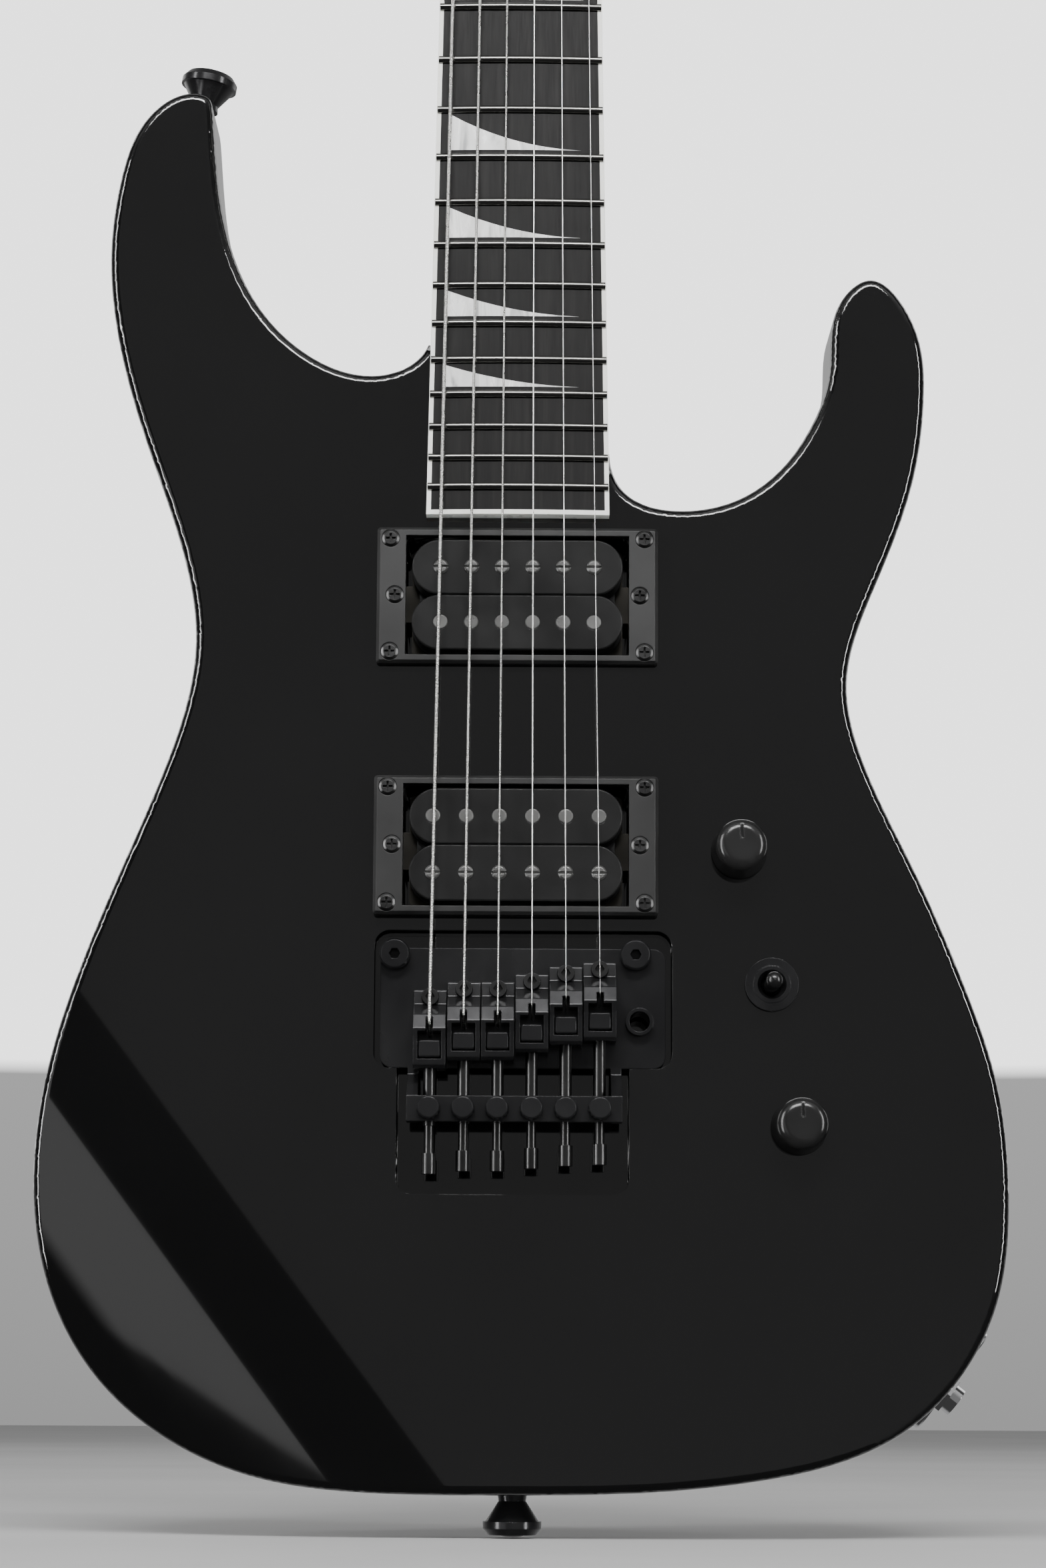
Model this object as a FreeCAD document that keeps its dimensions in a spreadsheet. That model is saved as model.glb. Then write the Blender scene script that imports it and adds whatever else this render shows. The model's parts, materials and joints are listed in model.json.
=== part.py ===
import FreeCAD, Part
import math
import os
import re
import Sketcher
from FreeCAD import Placement, Rotation, Vector

# An electric guitar with a through neck, two open-coil pickups and a floating tremolo.
#
# Every piece is laid out flat on the bench: x towards the treble side, y from the end strap
# button up the neck, z out of the face, with z = 0 at half the body's thickness. The last
# placement, UPRIGHT, stands the guitar on its end, so that the neck points along +Z and the
# face looks along -Y. The tilted headstock has a bench of its own, HEAD, behind the nut.

DIMENSIONS = {
    # body
    "body_thick": 38, "edge_round": 3, "bridge_line": 156.5, "core_wide": 80,
    "contour_radius": 180,
    "heel_span": 70, "heel_deep": 24, "belly_span": 60, "belly_deep": 14,
    # neck and fretboard; a distance "ahead" is measured up the neck from the bridge line
    "scale_length": 647.7, "nut_wide": 43, "board_end_wide": 58.8, "board_end_ahead": 152.8,
    "board_thick": 6, "board_radius": 406, "binding_wide": 1.5, "inlay_thick": 1.2,
    "fret_wide": 2.6, "fret_tall": 1.2, "tang_wide": 0.6, "tang_deep": 1.8,
    "truss_wide": 6, "truss_tall": 9.4, "truss_long": 430, "truss_nut_radius": 4, "truss_nut_long": 14,
    # headstock
    "head_tilt": 12, "head_drop": 1.5, "head_start": 16, "head_thick": 14.5,
    "post_pitch": 24.5, "first_post": 42, "post_radius": 3, "waist_radius": 2.3,
    "bushing_bore": 3.05, "bushing_radius": 4.6, "bushing_flange": 7.2, "bushing_tall": 2.2,
    "housing_wide": 20, "housing_long": 20, "housing_tall": 11.5, "wheel_radius": 5,
    "worm_radius": 2.6, "worm_offset": 7.8, "key_shaft_radius": 2, "key_bore": 2.05,
    "button_long": 18, "button_wide": 15, "button_thick": 7.6,
    "bar_radius": 2.8, "bar_wide": 47, "bar_screw_wide": 42.4, "bar_ahead": 12, "bar_tall": 3.9,
    # nut
    "nut_long": 15.5, "nut_base_tall": 4.2, "nut_tall": 7.1, "clamp_wide": 12.4, "clamp_long": 11,
    "clamp_tall": 5, "clamp_pitch": 14.24, "nut_spread": 35.6,
    # strings
    "bridge_spread": 53.3, "string_tall": 10.3,
    # pickups
    "neck_pickup_ahead": 126.7, "bridge_pickup_ahead": 45.6, "ring_wide": 90, "ring_long": 44.5,
    "ring_window_wide": 71.5, "ring_window_long": 39, "neck_ring_tall": 3.6,
    "bridge_ring_tall": 5.6, "ring_screw_wide": 81.4, "ring_screw_long": 37,
    "bobbin_wide": 67.5, "bobbin_long": 17.9, "bobbin_pitch": 18.05, "bobbin_tall": 12.4,
    "bobbin_proud": 0.8, "flange_tall": 1.6, "coil_inset": 1.4, "bobbin_core_wide": 58,
    "bobbin_core_long": 6.6, "neck_pole_pitch": 9.8, "bridge_pole_pitch": 10.5,
    "pole_radius": 2.4, "pole_shank": 1.6, "pole_screw_long": 21,
    "magnet_wide": 63, "magnet_long": 12, "magnet_tall": 3.2, "base_wide": 68,
    "base_long": 35.9, "base_tall": 1.2, "ear_wide": 85, "ear_long": 12,
    "pickup_hole_deep": 23, "height_screw_wide": 78.4, "height_screw_long": 21,
    # tremolo
    "stud_ahead": 11.3, "stud_spread": 76, "plate_low": 4.2, "plate_thick": 2.6,
    "plate_front": 13.5, "plate_behind": 24.4, "plate_wide": 90, "plate_offset": 2.5,
    "recess_deep": 8.5, "tail_deep": 14, "recess_round": 5,
    "stud_radius": 4.9, "stud_groove": 3.6, "stud_thread": 3.9, "stud_deep": 20, "knife_gap": 0.5,
    "saddle_wide": 10.2, "block_wide": 62, "block_long": 13, "block_tall": 30, "block_ahead": -2,
    "arm_x": 39.2, "arm_behind": 9.8, "arm_bore": 3.2, "arm_collar": 4.4, "arm_tube_deep": 13,
    "tuner_bar_wide": 67.2, "tuner_bar_behind": 38, "tuner_bar_long": 8, "tuner_bar_low": 6.2,
    "tuner_bar_tall": 3.4, "fine_knob": 3.7, "fine_knob_tall": 5.2, "fine_shank": 1.6,
    "lock_high": 3.4, "lock_shaft": 1.9, "lock_tail": 1.5, "lock_head": 2.25,
    "spring_radius": 4, "spring_bore": 3.1, "spring_pitch": 15, "spring_wire": 0.7,
    "spring_high": 9.5, "spring_from": 12, "spring_to": 60, "claw_ahead": 70,
    "spring_hole_wide": 56, "spring_hole_deep": 16, "block_hole_wide": 66,
    # controls
    "volume_x": 70.8, "volume_ahead": 44.7, "tone_x": 89.3, "tone_ahead": -42.5,
    "switch_x": 80.9, "switch_ahead": 2.2, "knob_radius": 8.9, "knob_tall": 16, "knob_gap": 0.8,
    "knob_dome": 3.5, "pot_radius": 12, "pot_tall": 9, "pot_bushing": 4.7, "shaft_radius": 3,
    "shaft_bore": 3.05, "control_wall": 6, "cover_thick": 2, "cover_gap": 0.25, "cover_lip": 7,
    "switch_bushing": 5.9, "switch_nut": 8.5, "lever_radius": 1.6, "lever_tip": 2.7, "lever_low": 2,
    "lever_tall": 15,
    "jack_x": 138, "jack_ahead": -121.2, "jack_turn": 37.9, "jack_offset": 4, "jack_bore": 3.25,
    "jack_sleeve": 4.75, "jack_nut": 6.6, "jack_proud": 5, "jack_deep": 16, "jack_hole": 10,
    "jack_plate_thick": 1.6, "jack_plate_wide": 23, "jack_plate_long": 37, "jack_recess": 2,
    # strap buttons
    "horn_x": -105.5, "horn_ahead": 296.2, "horn_tilt": 10, "strap_radius": 9.2,
    "strap_waist": 4.3, "strap_screw": 1.9, "strap_screw_long": 26,
    # small wood screws
    "screw_shank": 1.3, "screw_head": 2.9, "screw_head_tall": 1.6, "screw_long": 12,
}
STRINGS = 6
FRETS = 24
GAUGES = (1.17, 0.91, 0.66, 0.43, 0.33, 0.25)         # string diameters, thickest first
WITNESS = (-11.0, -8.5, -8.4, -5.9, -3.4, -2.1)      # each saddle's contact point, from the bridge line
INLAY_SPACES = (3, 5, 7, 9, 12, 15, 17, 19, 21)
TOP = "body_thick / 2"
BACK = "-body_thick / 2"
NUT = "(bridge_line + scale_length)"
PLATE_TOP = "(body_thick / 2 - plate_low + plate_thick)"

doc = FreeCAD.newDocument("electric_guitar")
sheet = doc.addObject("Spreadsheet::Sheet", "dims")
for row, (word, number) in enumerate(DIMENSIONS.items(), start=1):
    sheet.set(f"A{row}", str(number))
    sheet.setAlias(f"A{row}", word)
doc.recompute()

UPRIGHT = Placement(Vector(0, 0, 0), Rotation(Vector(1, 0, 0), 90))
WORD = re.compile(r"[a-z]+(?:_[a-z]+)+")
nodes = []


def size(word):
    """A dimension read back from the sheet."""
    return float(sheet.get(word))


HEAD = Placement(
    Vector(0, size("bridge_line") + size("scale_length") + size("head_start"),
           size("body_thick") / 2 - size("head_drop")),
    Rotation(Vector(1, 0, 0), -size("head_tilt")))


# ---------------------------------------------------------------- building blocks

def formula(text):
    """A size in words, such as 'body_thick / 2', as an expression on the sheet."""
    return WORD.sub(lambda word: "dims." + word[0], str(text))


def place(thing, at=(0, 0, 0), turn=None):
    """Put a piece at a point whose coordinates are words or numbers, turned by a Rotation."""
    if turn is not None:
        thing.Placement = Placement(Vector(), turn)
    for axis, text in zip("xyz", at):
        thing.setExpression("Placement.Base." + axis, formula(text))
    return thing


def box(wide, long, tall, at=(0, 0, 0)):
    """A block centred on x and y at a point of its bottom face."""
    block = doc.addObject("Part::Box", "block")
    block.setExpression("Length", formula(wide))
    block.setExpression("Width", formula(long))
    block.setExpression("Height", formula(tall))
    return place(block, (f"({at[0]}) - ({wide}) / 2", f"({at[1]}) - ({long}) / 2", at[2]))


def rod(radius, tall, at=(0, 0, 0), turn=None):
    """A cylinder that rises from a point."""
    cylinder = doc.addObject("Part::Cylinder", "rod")
    cylinder.setExpression("Radius", formula(radius))
    cylinder.setExpression("Height", formula(tall))
    return place(cylinder, at, turn)


def cone(lower, upper, tall, at=(0, 0, 0)):
    """A cone or a countersink that rises from a point."""
    taper = doc.addObject("Part::Cone", "taper")
    taper.setExpression("Radius1", formula(lower))
    taper.setExpression("Radius2", formula(upper))
    taper.setExpression("Height", formula(tall))
    return place(taper, at)


def ring(major, minor, at=(0, 0, 0)):
    """A torus about an upright axis."""
    torus = doc.addObject("Part::Torus", "ring")
    torus.setExpression("Radius1", formula(major))
    torus.setExpression("Radius2", formula(minor))
    return place(torus, at)


def fuse(*pieces):
    if len(pieces) == 1:
        return pieces[0]
    whole = doc.addObject("Part::MultiFuse", "joined")
    whole.Shapes = list(pieces)
    return whole


def group(*pieces):
    together = doc.addObject("Part::Compound", "set")
    together.Links = list(pieces)
    return together


def cut(base, *tools):
    cutter = tools[0] if len(tools) == 1 else group(*tools)
    rest = doc.addObject("Part::Cut", "cut")
    rest.Base = base
    rest.Tool = cutter
    return rest


def common(base, tool):
    shared = doc.addObject("Part::Common", "shared")
    shared.Base = base
    shared.Tool = tool
    return shared


def stack(at, *levels):
    """A turned piece: discs and cones on one axis, each (lower radius, upper radius, height)."""
    height = "0"
    pieces = []
    for lower, upper, tall in levels:
        place_up = (0, 0, height)
        pieces.append(rod(lower, tall, place_up) if lower == upper else cone(lower, upper, tall, place_up))
        height = f"{height} + ({tall})"
    return place(fuse(*pieces), at)


def plane_of(body, role):
    return next(plane for plane in body.Origin.OriginFeatures if plane.Role == role)


def new_sketch(body, role="XY_Plane"):
    sketch = body.newObject("Sketcher::SketchObject", "outline")
    sketch.AttachmentSupport = (plane_of(body, role), [""])
    sketch.MapMode = "FlatFace"
    return sketch


def pad(body, sketch, tall):
    thick = body.newObject("PartDesign::Pad", "pad")
    thick.Profile = sketch
    thick.setExpression("Length", formula(tall))
    sketch.Visibility = False
    return thick


def draw_rectangle(sketch, wide, long):
    """Four lines centred on the sketch's origin, held by constraints."""
    x = 10
    y = 5
    corners = [Vector(-x, -y), Vector(x, -y), Vector(x, y), Vector(-x, y)]
    for here, there in zip(corners, corners[1:] + corners[:1]):
        sketch.addGeometry(Part.LineSegment(here, there), False)
    for line in range(4):
        sketch.addConstraint(Sketcher.Constraint("Coincident", line, 2, (line + 1) % 4, 1))
        sketch.addConstraint(Sketcher.Constraint("Vertical" if line % 2 else "Horizontal", line))
    sketch.addConstraint(Sketcher.Constraint("Symmetric", 0, 1, 2, 1, -1, 1))
    for name, line, direction, text in (("wide", 0, "DistanceX", wide), ("tall", 1, "DistanceY", long)):
        index = sketch.addConstraint(Sketcher.Constraint(direction, line, 1, line, 2, 1))
        sketch.renameConstraint(index, name)
        sketch.setExpression("Constraints." + name, formula(text))


def dress(body, kind, base, edges, amount):
    """A fillet or chamfer on the numbered edges of a body's last feature."""
    feature = body.newObject("PartDesign::" + kind, kind.lower())
    feature.Base = (base, edges)
    feature.setExpression("Radius" if kind == "Fillet" else "Size", formula(amount))
    doc.recompute()
    return feature


def edges_where(shape, test):
    return [f"Edge{n}" for n, edge in enumerate(shape.Edges, start=1) if test(edge)]


def upright(edge):
    return edge.BoundBox.ZLength > 0.5 and edge.BoundBox.XLength < 0.01 and edge.BoundBox.YLength < 0.01


def slab(wide, long, tall, at=(0, 0, 0), corner=None, edge=None, window=None, under=False):
    """A plate with rounded corners, an optional bevel round its top or under it, and an optional window."""
    body = doc.addObject("PartDesign::Body", "plate")
    sketch = new_sketch(body)
    draw_rectangle(sketch, wide, long)
    last = pad(body, sketch, tall)
    doc.recompute()
    if corner:
        last = dress(body, "Fillet", last, edges_where(last.Shape, upright), corner)
    if edge:
        level = last.Shape.BoundBox.ZMin if under else last.Shape.BoundBox.ZMax
        rim = edges_where(last.Shape,
                          lambda e: abs(e.BoundBox.ZMin - level) + abs(e.BoundBox.ZMax - level) < 0.01)
        last = dress(body, "Chamfer", last, rim, edge)
    if window:
        hole = new_sketch(body)
        draw_rectangle(hole, window[0], window[1])
        pocket = body.newObject("PartDesign::Pocket", "window")
        pocket.Profile = hole
        pocket.Type = "ThroughAll"
        pocket.Reversed = True
        doc.recompute()
    return place(body, at)


def rounded(points, radius):
    """The lines and tangent arcs of a polygon whose corners are rounded."""
    corners = [Vector(x, y, 0) for x, y in points]
    stops = []
    for before, here, after in zip(corners[-1:] + corners[:-1], corners, corners[1:] + corners[:1]):
        back = (before - here).normalize()
        onward = (after - here).normalize()
        half = math.acos(max(-1, min(1, back.dot(onward)))) / 2
        reach = radius / math.tan(half)
        inward = (back + onward).normalize()
        middle = here + inward * (radius / math.sin(half) - radius)
        stops.append((here + back * reach, middle, here + onward * reach))
    shapes = []
    for (start, middle, end), following in zip(stops, stops[1:] + stops[:1]):
        shapes.append(Part.Arc(start, middle, end))
        shapes.append(Part.LineSegment(end, following[0]))
    return shapes


def profile(curves, tall, at=(0, 0, 0), role="XY_Plane", turn=None):
    """A prism on a sketch made of the curves given."""
    body = doc.addObject("PartDesign::Body", "prism")
    sketch = new_sketch(body, role)
    for curve in curves:
        sketch.addGeometry(curve, False)
    pad(body, sketch, tall)
    return place(body, at, turn)


def polygon(points):
    corners = [Vector(x, y, 0) for x, y in points]
    return [Part.LineSegment(here, there) for here, there in zip(corners, corners[1:] + corners[:1])]


def node(name, *pieces, bench=UPRIGHT):
    """Finish a sub-part: name it and stand it up in the guitar's own frame."""
    whole = doc.addObject("Part::Compound", name)
    whole.Label = name
    whole.Links = list(pieces)
    whole.Placement = bench
    nodes.append(whole)
    return whole


# ---------------------------------------------------------------- body and neck

OUTLINE = (
    # upper horn's inner edge, from the neck out to its tip
    (-29.5, 211), (-34.2, 205), (-47.2, 200.7), (-69, 207.9), (-83.5, 221.8), (-93, 240),
    (-99, 267), (-101, 290), (-102.6, 295), (-105.5, 296.2),
    # bass side, down to the end
    (-120.7, 289.7), (-130.7, 266.9), (-133.4, 239.6), (-130.3, 212.5), (-120, 176.8),
    (-107.8, 141.4), (-103.1, 112), (-112, 71.5), (-125.9, 37), (-139, 2.8), (-148.4, -31),
    (-151.3, -60), (-144.8, -97.5), (-130, -122), (-110.8, -138.3), (-82, -151), (-45, -156),
    (0, -156.5),
    # treble side, up to the lower horn's tip
    (40, -155.6), (75, -152), (100, -146.5), (120, -137.5), (138.6, -120.4), (151.1, -95.9),
    (155, -65), (152, -29.3), (141.3, 4.4), (127, 38.4), (111.2, 72.8), (105.7, 98.8),
    (116.1, 133.9), (128.4, 169.3), (131.7, 196), (127, 222.1), (114.1, 233.8),
    # cutaway, back to the neck
    (104.6, 226), (101, 202.6), (95, 184.7), (85.4, 170.5), (72.4, 160.6), (55.1, 156.2),
    (37.9, 159.5), (29.5, 174.7))
WALLS = 8                                             # stretches that the outline's curve is split into
CONTOUR_LINE = (Vector(-135, -2, 0), Vector(-22, -150, 0))


def ball(x, ahead, span, deep):
    """A shallow round hollow in the back, given by its width on the face and its depth."""
    radius = f"(({span}) ^ 2 + ({deep}) ^ 2) / (2 * {deep})"
    sphere = doc.addObject("Part::Sphere", "hollow")
    sphere.setExpression("Radius", formula(radius))
    return place(sphere, (x, f"bridge_line + {ahead}", f"{BACK} + ({deep}) - {radius}"))


def body_blank():
    """The body's outline with its forearm slope, rounded edges, and hollows at heel and belly."""
    curve = Part.BSplineCurve()
    curve.interpolate([Vector(x, y, 0) for x, y in OUTLINE])
    knots = curve.getKnots()
    stops = [knots[round(n * (len(knots) - 1) / WALLS)] for n in range(WALLS + 1)]
    walls = []
    for start, end in zip(stops, stops[1:]):
        stretch = curve.copy()
        stretch.segment(start, end)
        walls.append(stretch)
    across = Part.LineSegment(Vector(*OUTLINE[-1], 0), Vector(*OUTLINE[0], 0))
    blank = profile(walls + [across], "body_thick", (0, "bridge_line", BACK))

    start, end = CONTOUR_LINE
    along = (end - start).normalize()
    slope = doc.addObject("Part::Cylinder", "slope")
    slope.setExpression("Radius", formula("contour_radius"))
    slope.Height = 500
    lead = start - along * 150
    place(slope, (lead.x, f"bridge_line + {lead.y}", f"{TOP} - contour_radius"),
          Rotation(Vector(0, 0, 1), along))
    waste = doc.addObject("Part::Box", "waste")
    waste.Length = 500
    waste.Width = 120
    waste.Height = 30
    corner = start - along * 150 + Vector(along.y, -along.x, 0) * 120
    place(waste, (corner.x, f"bridge_line + {corner.y}", 2), Rotation(Vector(1, 0, 0), along))
    sloped = cut(blank, cut(waste, slope))
    doc.recompute()

    rims = doc.addObject("Part::Fillet", "rims")
    rims.Base = sloped
    radius = size("edge_round")
    rims.Edges = [(number, radius, radius) for number in rim_edges(sloped.Shape)]
    return cut(rims, ball(0, 235, "heel_span", "heel_deep"),
               ball(-125, 100, "belly_span", "belly_deep"))


def rim_edges(shape):
    """Edges where the curved side wall meets the face, the back or the forearm slope."""
    owners = {}
    for face in shape.Faces:
        for edge in face.Edges:
            owners.setdefault(edge.hashCode(), []).append(face.Surface)
    rims = []
    for number, edge in enumerate(shape.Edges, start=1):
        kinds = owners[edge.hashCode()]
        walls = [kind for kind in kinds if isinstance(kind, Part.SurfaceOfExtrusion)]
        flats = [kind for kind in kinds if isinstance(kind, Part.Cylinder)
                 or (isinstance(kind, Part.Plane) and abs(kind.Axis.z) > 0.5)]
        if len(walls) == 1 and len(flats) == 1:
            rims.append(number)
    return rims


def neck_section(body, ahead, wide, deep):
    """A neck section: flat at the fretboard, a full D-shaped bow behind it."""
    fullness = 2 / NECK_FULLNESS
    bow = []
    for step in range(BOW_STEPS + 1):
        turn = math.pi * step / BOW_STEPS
        across = math.copysign(abs(math.cos(turn)) ** fullness, math.cos(turn))
        bow.append(Vector(wide / 2 * across, deep * abs(math.sin(turn)) ** fullness, 0))
    bow[0] = Vector(wide / 2, 0, 0)
    bow[-1] = Vector(-wide / 2, 0, 0)
    curve = Part.BSplineCurve()
    curve.interpolate(Points=bow, InitialTangent=Vector(0, 1, 0), FinalTangent=Vector(0, -1, 0))
    sketch = new_sketch(body)
    sketch.addGeometry(curve, False)
    sketch.addGeometry(Part.LineSegment(bow[-1], bow[0]), False)
    sketch.setExpression("AttachmentOffset.Base.z", formula(ahead))
    return sketch


NECK_FULLNESS = 2.3                                   # 2 would be half an ellipse
BOW_STEPS = 12
HEEL_SECTIONS = ((166, 32), (186, 25.5), (206, 20), (224, 17.4), (240, 16.6))
SHAFT_SECTIONS = ((240, 16.6), (647.7, 14.5), (663.7, 14.5))


def board_wide(ahead):
    """The neck's width at a distance from the bridge line."""
    share = (ahead - size("board_end_ahead")) / (size("scale_length") - size("board_end_ahead"))
    return size("board_end_wide") + (size("nut_wide") - size("board_end_wide")) * min(share, 1)


def neck_length(sections, ruled):
    """A neck stretch lofted through sections, each (distance ahead of the bridge line, depth)."""
    body = doc.addObject("PartDesign::Body", "stretch")
    sketches = [neck_section(body, ahead, board_wide(ahead), deep) for ahead, deep in sections]
    loft = body.newObject("PartDesign::AdditiveLoft", "loft")
    loft.Profile = sketches[0]
    loft.Sections = sketches[1:]
    loft.Ruled = ruled
    return place(body, (0, "bridge_line", TOP), Rotation(Vector(1, 0, 0), -90))


HEAD_OUTLINE = ((-21.5, -7), (21.5, -7), (23.5, 6), (27, 40), (33, 110), (37, 160), (27, 194),
                (6, 187), (1.5, 168), (-34.5, 44), (-32, 26), (-21.5, 6))


def headstock():
    """The tilted head: a plain six-in-line shape whose bass edge follows the line of the posts."""
    body = doc.addObject("PartDesign::Body", "head")
    sketch = new_sketch(body)
    for curve in rounded(HEAD_OUTLINE, 4):
        sketch.addGeometry(curve, False)
    slab_of_head = pad(body, sketch, "head_thick")
    doc.recompute()
    low_rim = edges_where(slab_of_head.Shape, lambda e: e.BoundBox.ZMax < 0.01)
    dress(body, "Fillet", slab_of_head, low_rim, "edge_round")
    return in_head(place(body, (0, 0, "-head_thick")))


def in_head(*pieces):
    """Move pieces from the headstock's bench to the guitar's."""
    moved = group(*pieces)
    moved.Placement = HEAD
    return moved


# ---------------------------------------------------------------- holes that several pieces share

def string_x(number, spread):
    """A string's place across the neck, the thickest string first and furthest to the bass side."""
    return f"({spread} * ({number} / 5 - 0.5))"


def post_x(number):
    """A tuner post stands so that its string leaves the nut in line and meets the post's near side."""
    return f"({string_x(number, 'nut_spread')} - waist_radius - {GAUGES[number] / 2})"


def post_y(number):
    return f"(first_post + {number} * post_pitch)"


CONTROL_HOLE = ((57, 64), (86, 66), (99, 44), (107, 2), (117, -44), (108, -64), (76, -68),
                (63, -40), (57, -20))
CONTROL_SCREWS = (0, 2, 3, 5, 6, 8)                    # the sides of the hole that have a cover screw
TREM_COVER = (84, 122, 28)                            # width, length, middle ahead of the bridge line
TREM_SCREWS = tuple((x, y) for x in (-38, 38) for y in (-29, 28, 85))
PICKUPS = (("neck_pickup_ahead", "neck_ring_tall", "neck_pole_pitch", 1),
           ("bridge_pickup_ahead", "bridge_ring_tall", "bridge_pole_pitch", -1))
CONTROLS = (("volume_x", "volume_ahead"), ("tone_x", "tone_ahead"))
CORNERS = ((-1, -1), (1, -1), (1, 1), (-1, 1))


def spread_out(points, amount):
    """The corners of a clockwise outline moved out so that each side moves by the amount."""
    moved = []
    for before, here, after in zip(points[-1:] + points[:-1], points, points[1:] + points[:1]):
        normals = []
        for start, end in ((before, here), (here, after)):
            long = math.dist(start, end)
            normals.append(((start[1] - end[1]) / long, (end[0] - start[0]) / long))
        share = amount / (1 + normals[0][0] * normals[1][0] + normals[0][1] * normals[1][1])
        moved.append((here[0] + share * (normals[0][0] + normals[1][0]),
                      here[1] + share * (normals[0][1] + normals[1][1])))
    return moved


def control_screw_places():
    """The middles of the control cover's longer sides, over the ledge that the cover lies on."""
    ledge = spread_out(CONTROL_HOLE, size("cover_lip") / 2)
    sides = list(zip(ledge, ledge[1:] + ledge[:1]))
    return [((sides[n][0][0] + sides[n][1][0]) / 2, (sides[n][0][1] + sides[n][1][1]) / 2)
            for n in CONTROL_SCREWS]


def ahead(distance):
    """A place up the neck from the bridge line."""
    return f"(bridge_line + {distance})"


def jack_frame(*pieces):
    """Move pieces to the output jack, whose own z points out of the body's edge."""
    angle = math.radians(-size("jack_turn"))
    out = Vector(math.cos(angle), math.sin(angle), 0)
    along = Vector(-math.sin(angle), math.cos(angle), 0)
    moved = group(*pieces)
    moved.Placement = Placement(Vector(), Rotation(along.cross(out), along, out, "ZYX"))
    return place(moved, ("jack_x", ahead("jack_ahead"), 0))


def strap_frames():
    """The seats of the two strap buttons: at the body's end and at the upper horn's tip."""
    lean = math.radians(size("horn_tilt"))
    horn = Vector(math.sin(lean), math.cos(lean), 0)
    return (((0, 0, 0), Rotation(Vector(0, 0, 1), Vector(0, -1, 0))),
            (("horn_x", ahead("horn_ahead"), 0), Rotation(Vector(0, 0, 1), horn)))


def pickup_holes():
    tools = []
    for middle, tall, pitch, side in PICKUPS:
        low = f"{TOP} - pickup_hole_deep"
        tools.append(slab("ring_window_wide", "ring_window_long + 1", "pickup_hole_deep + 1",
                          (0, ahead(middle), low), "edge_round"))
        tools.append(slab("ear_wide + 2", "ear_long + 3", "pickup_hole_deep + 1",
                          (0, ahead(middle), low), "edge_round"))
        for x, y in CORNERS:
            tools.append(rod("screw_shank", "screw_long",
                             (f"{x} * ring_screw_wide / 2", f"{ahead(middle)} + {y} * ring_screw_long / 2",
                              f"{TOP} - screw_long")))
    return tools


def tremolo_holes():
    low = f"{TOP} - recess_deep"
    tools = [
        slab(94, 43.6, "recess_deep + 1", ("plate_offset", ahead(-2.8), low), "recess_round"),
        slab(73, 60, "tail_deep + 1", (-0.5, ahead(-34.1), f"{TOP} - tail_deep"), "recess_round"),
        slab("block_hole_wide", 31, "body_thick + 2", (0, ahead(-5), f"{BACK} - 1"), "edge_round"),
        rod("arm_collar + 2.6", "arm_tube_deep + 8", ("arm_x", ahead("-arm_behind"), f"{low} - arm_tube_deep")),
        slab("spring_hole_wide", 72, "spring_hole_deep + 1", (0, ahead(40), f"{BACK} - 1"), "edge_round"),
        slab(f"{TREM_COVER[0]} + 2 * cover_gap", f"{TREM_COVER[1]} + 2 * cover_gap", "cover_thick + 1",
             (0, ahead(TREM_COVER[2]), f"{BACK} - 1"), "recess_round"),
    ]
    for side in (-1, 1):
        tools.append(rod("stud_thread", "stud_deep + 1",
                         (f"{side} * stud_spread / 2", ahead("stud_ahead"), f"{low} - stud_deep")))
        tools.append(rod("strap_screw", 32, (f"{side} * spring_pitch / 2", ahead("claw_ahead + 1"),
                                             f"{BACK} + spring_high"),
                         Rotation(Vector(1, 0, 0), -90)))
    for x, y in TREM_SCREWS:
        tools.append(rod("screw_shank", "screw_long", (x, ahead(y), f"{BACK} + 0.01")))
    return tools


def control_holes():
    deep = "body_thick - control_wall"
    tools = [
        profile(rounded(CONTROL_HOLE, 9), f"{deep} + 1", (0, "bridge_line", f"{BACK} - 1")),
        profile(rounded(spread_out(CONTROL_HOLE, size("cover_lip") + size("cover_gap")), 9),
                "cover_thick + 1", (0, "bridge_line", f"{BACK} - 1")),
        rod("switch_bushing + 0.1", 20, ("switch_x", ahead("switch_ahead"), f"{TOP} - 10")),
        rod(4.5, 56, (126, ahead(-108), 0), Rotation(Vector(0, 0, 1), Vector(-0.55, 0.83, 0))),
    ]
    for x, y in CONTROLS:
        tools.append(rod("pot_bushing + 0.1", 20, (x, ahead(y), f"{TOP} - 10")))
    for x, y in control_screw_places():
        tools.append(rod("screw_shank", "screw_long", (x, ahead(y), f"{BACK} + 0.01")))
    return tools


def edge_holes():
    """Flat seat, hole and screw holes of the output jack, and the strap buttons' screw holes."""
    tools = [jack_frame(
        box("jack_plate_wide + 1", "jack_plate_long + 1", 12, (0, 0, "-jack_recess")),
        rod("jack_hole", 44, (0, "-jack_offset", -44)),
        rod("screw_shank", "screw_long", (0, "jack_plate_long / 2 - 4", "-jack_recess - screw_long + 1")),
        rod("screw_shank", "screw_long", (0, "4 - jack_plate_long / 2", "-jack_recess - screw_long + 1")))]
    for at, turn in strap_frames():
        tools.append(place(group(rod("strap_screw", "strap_screw_long + 4", (0, 0, "-strap_screw_long"))),
                           at, turn))
    return tools


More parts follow.
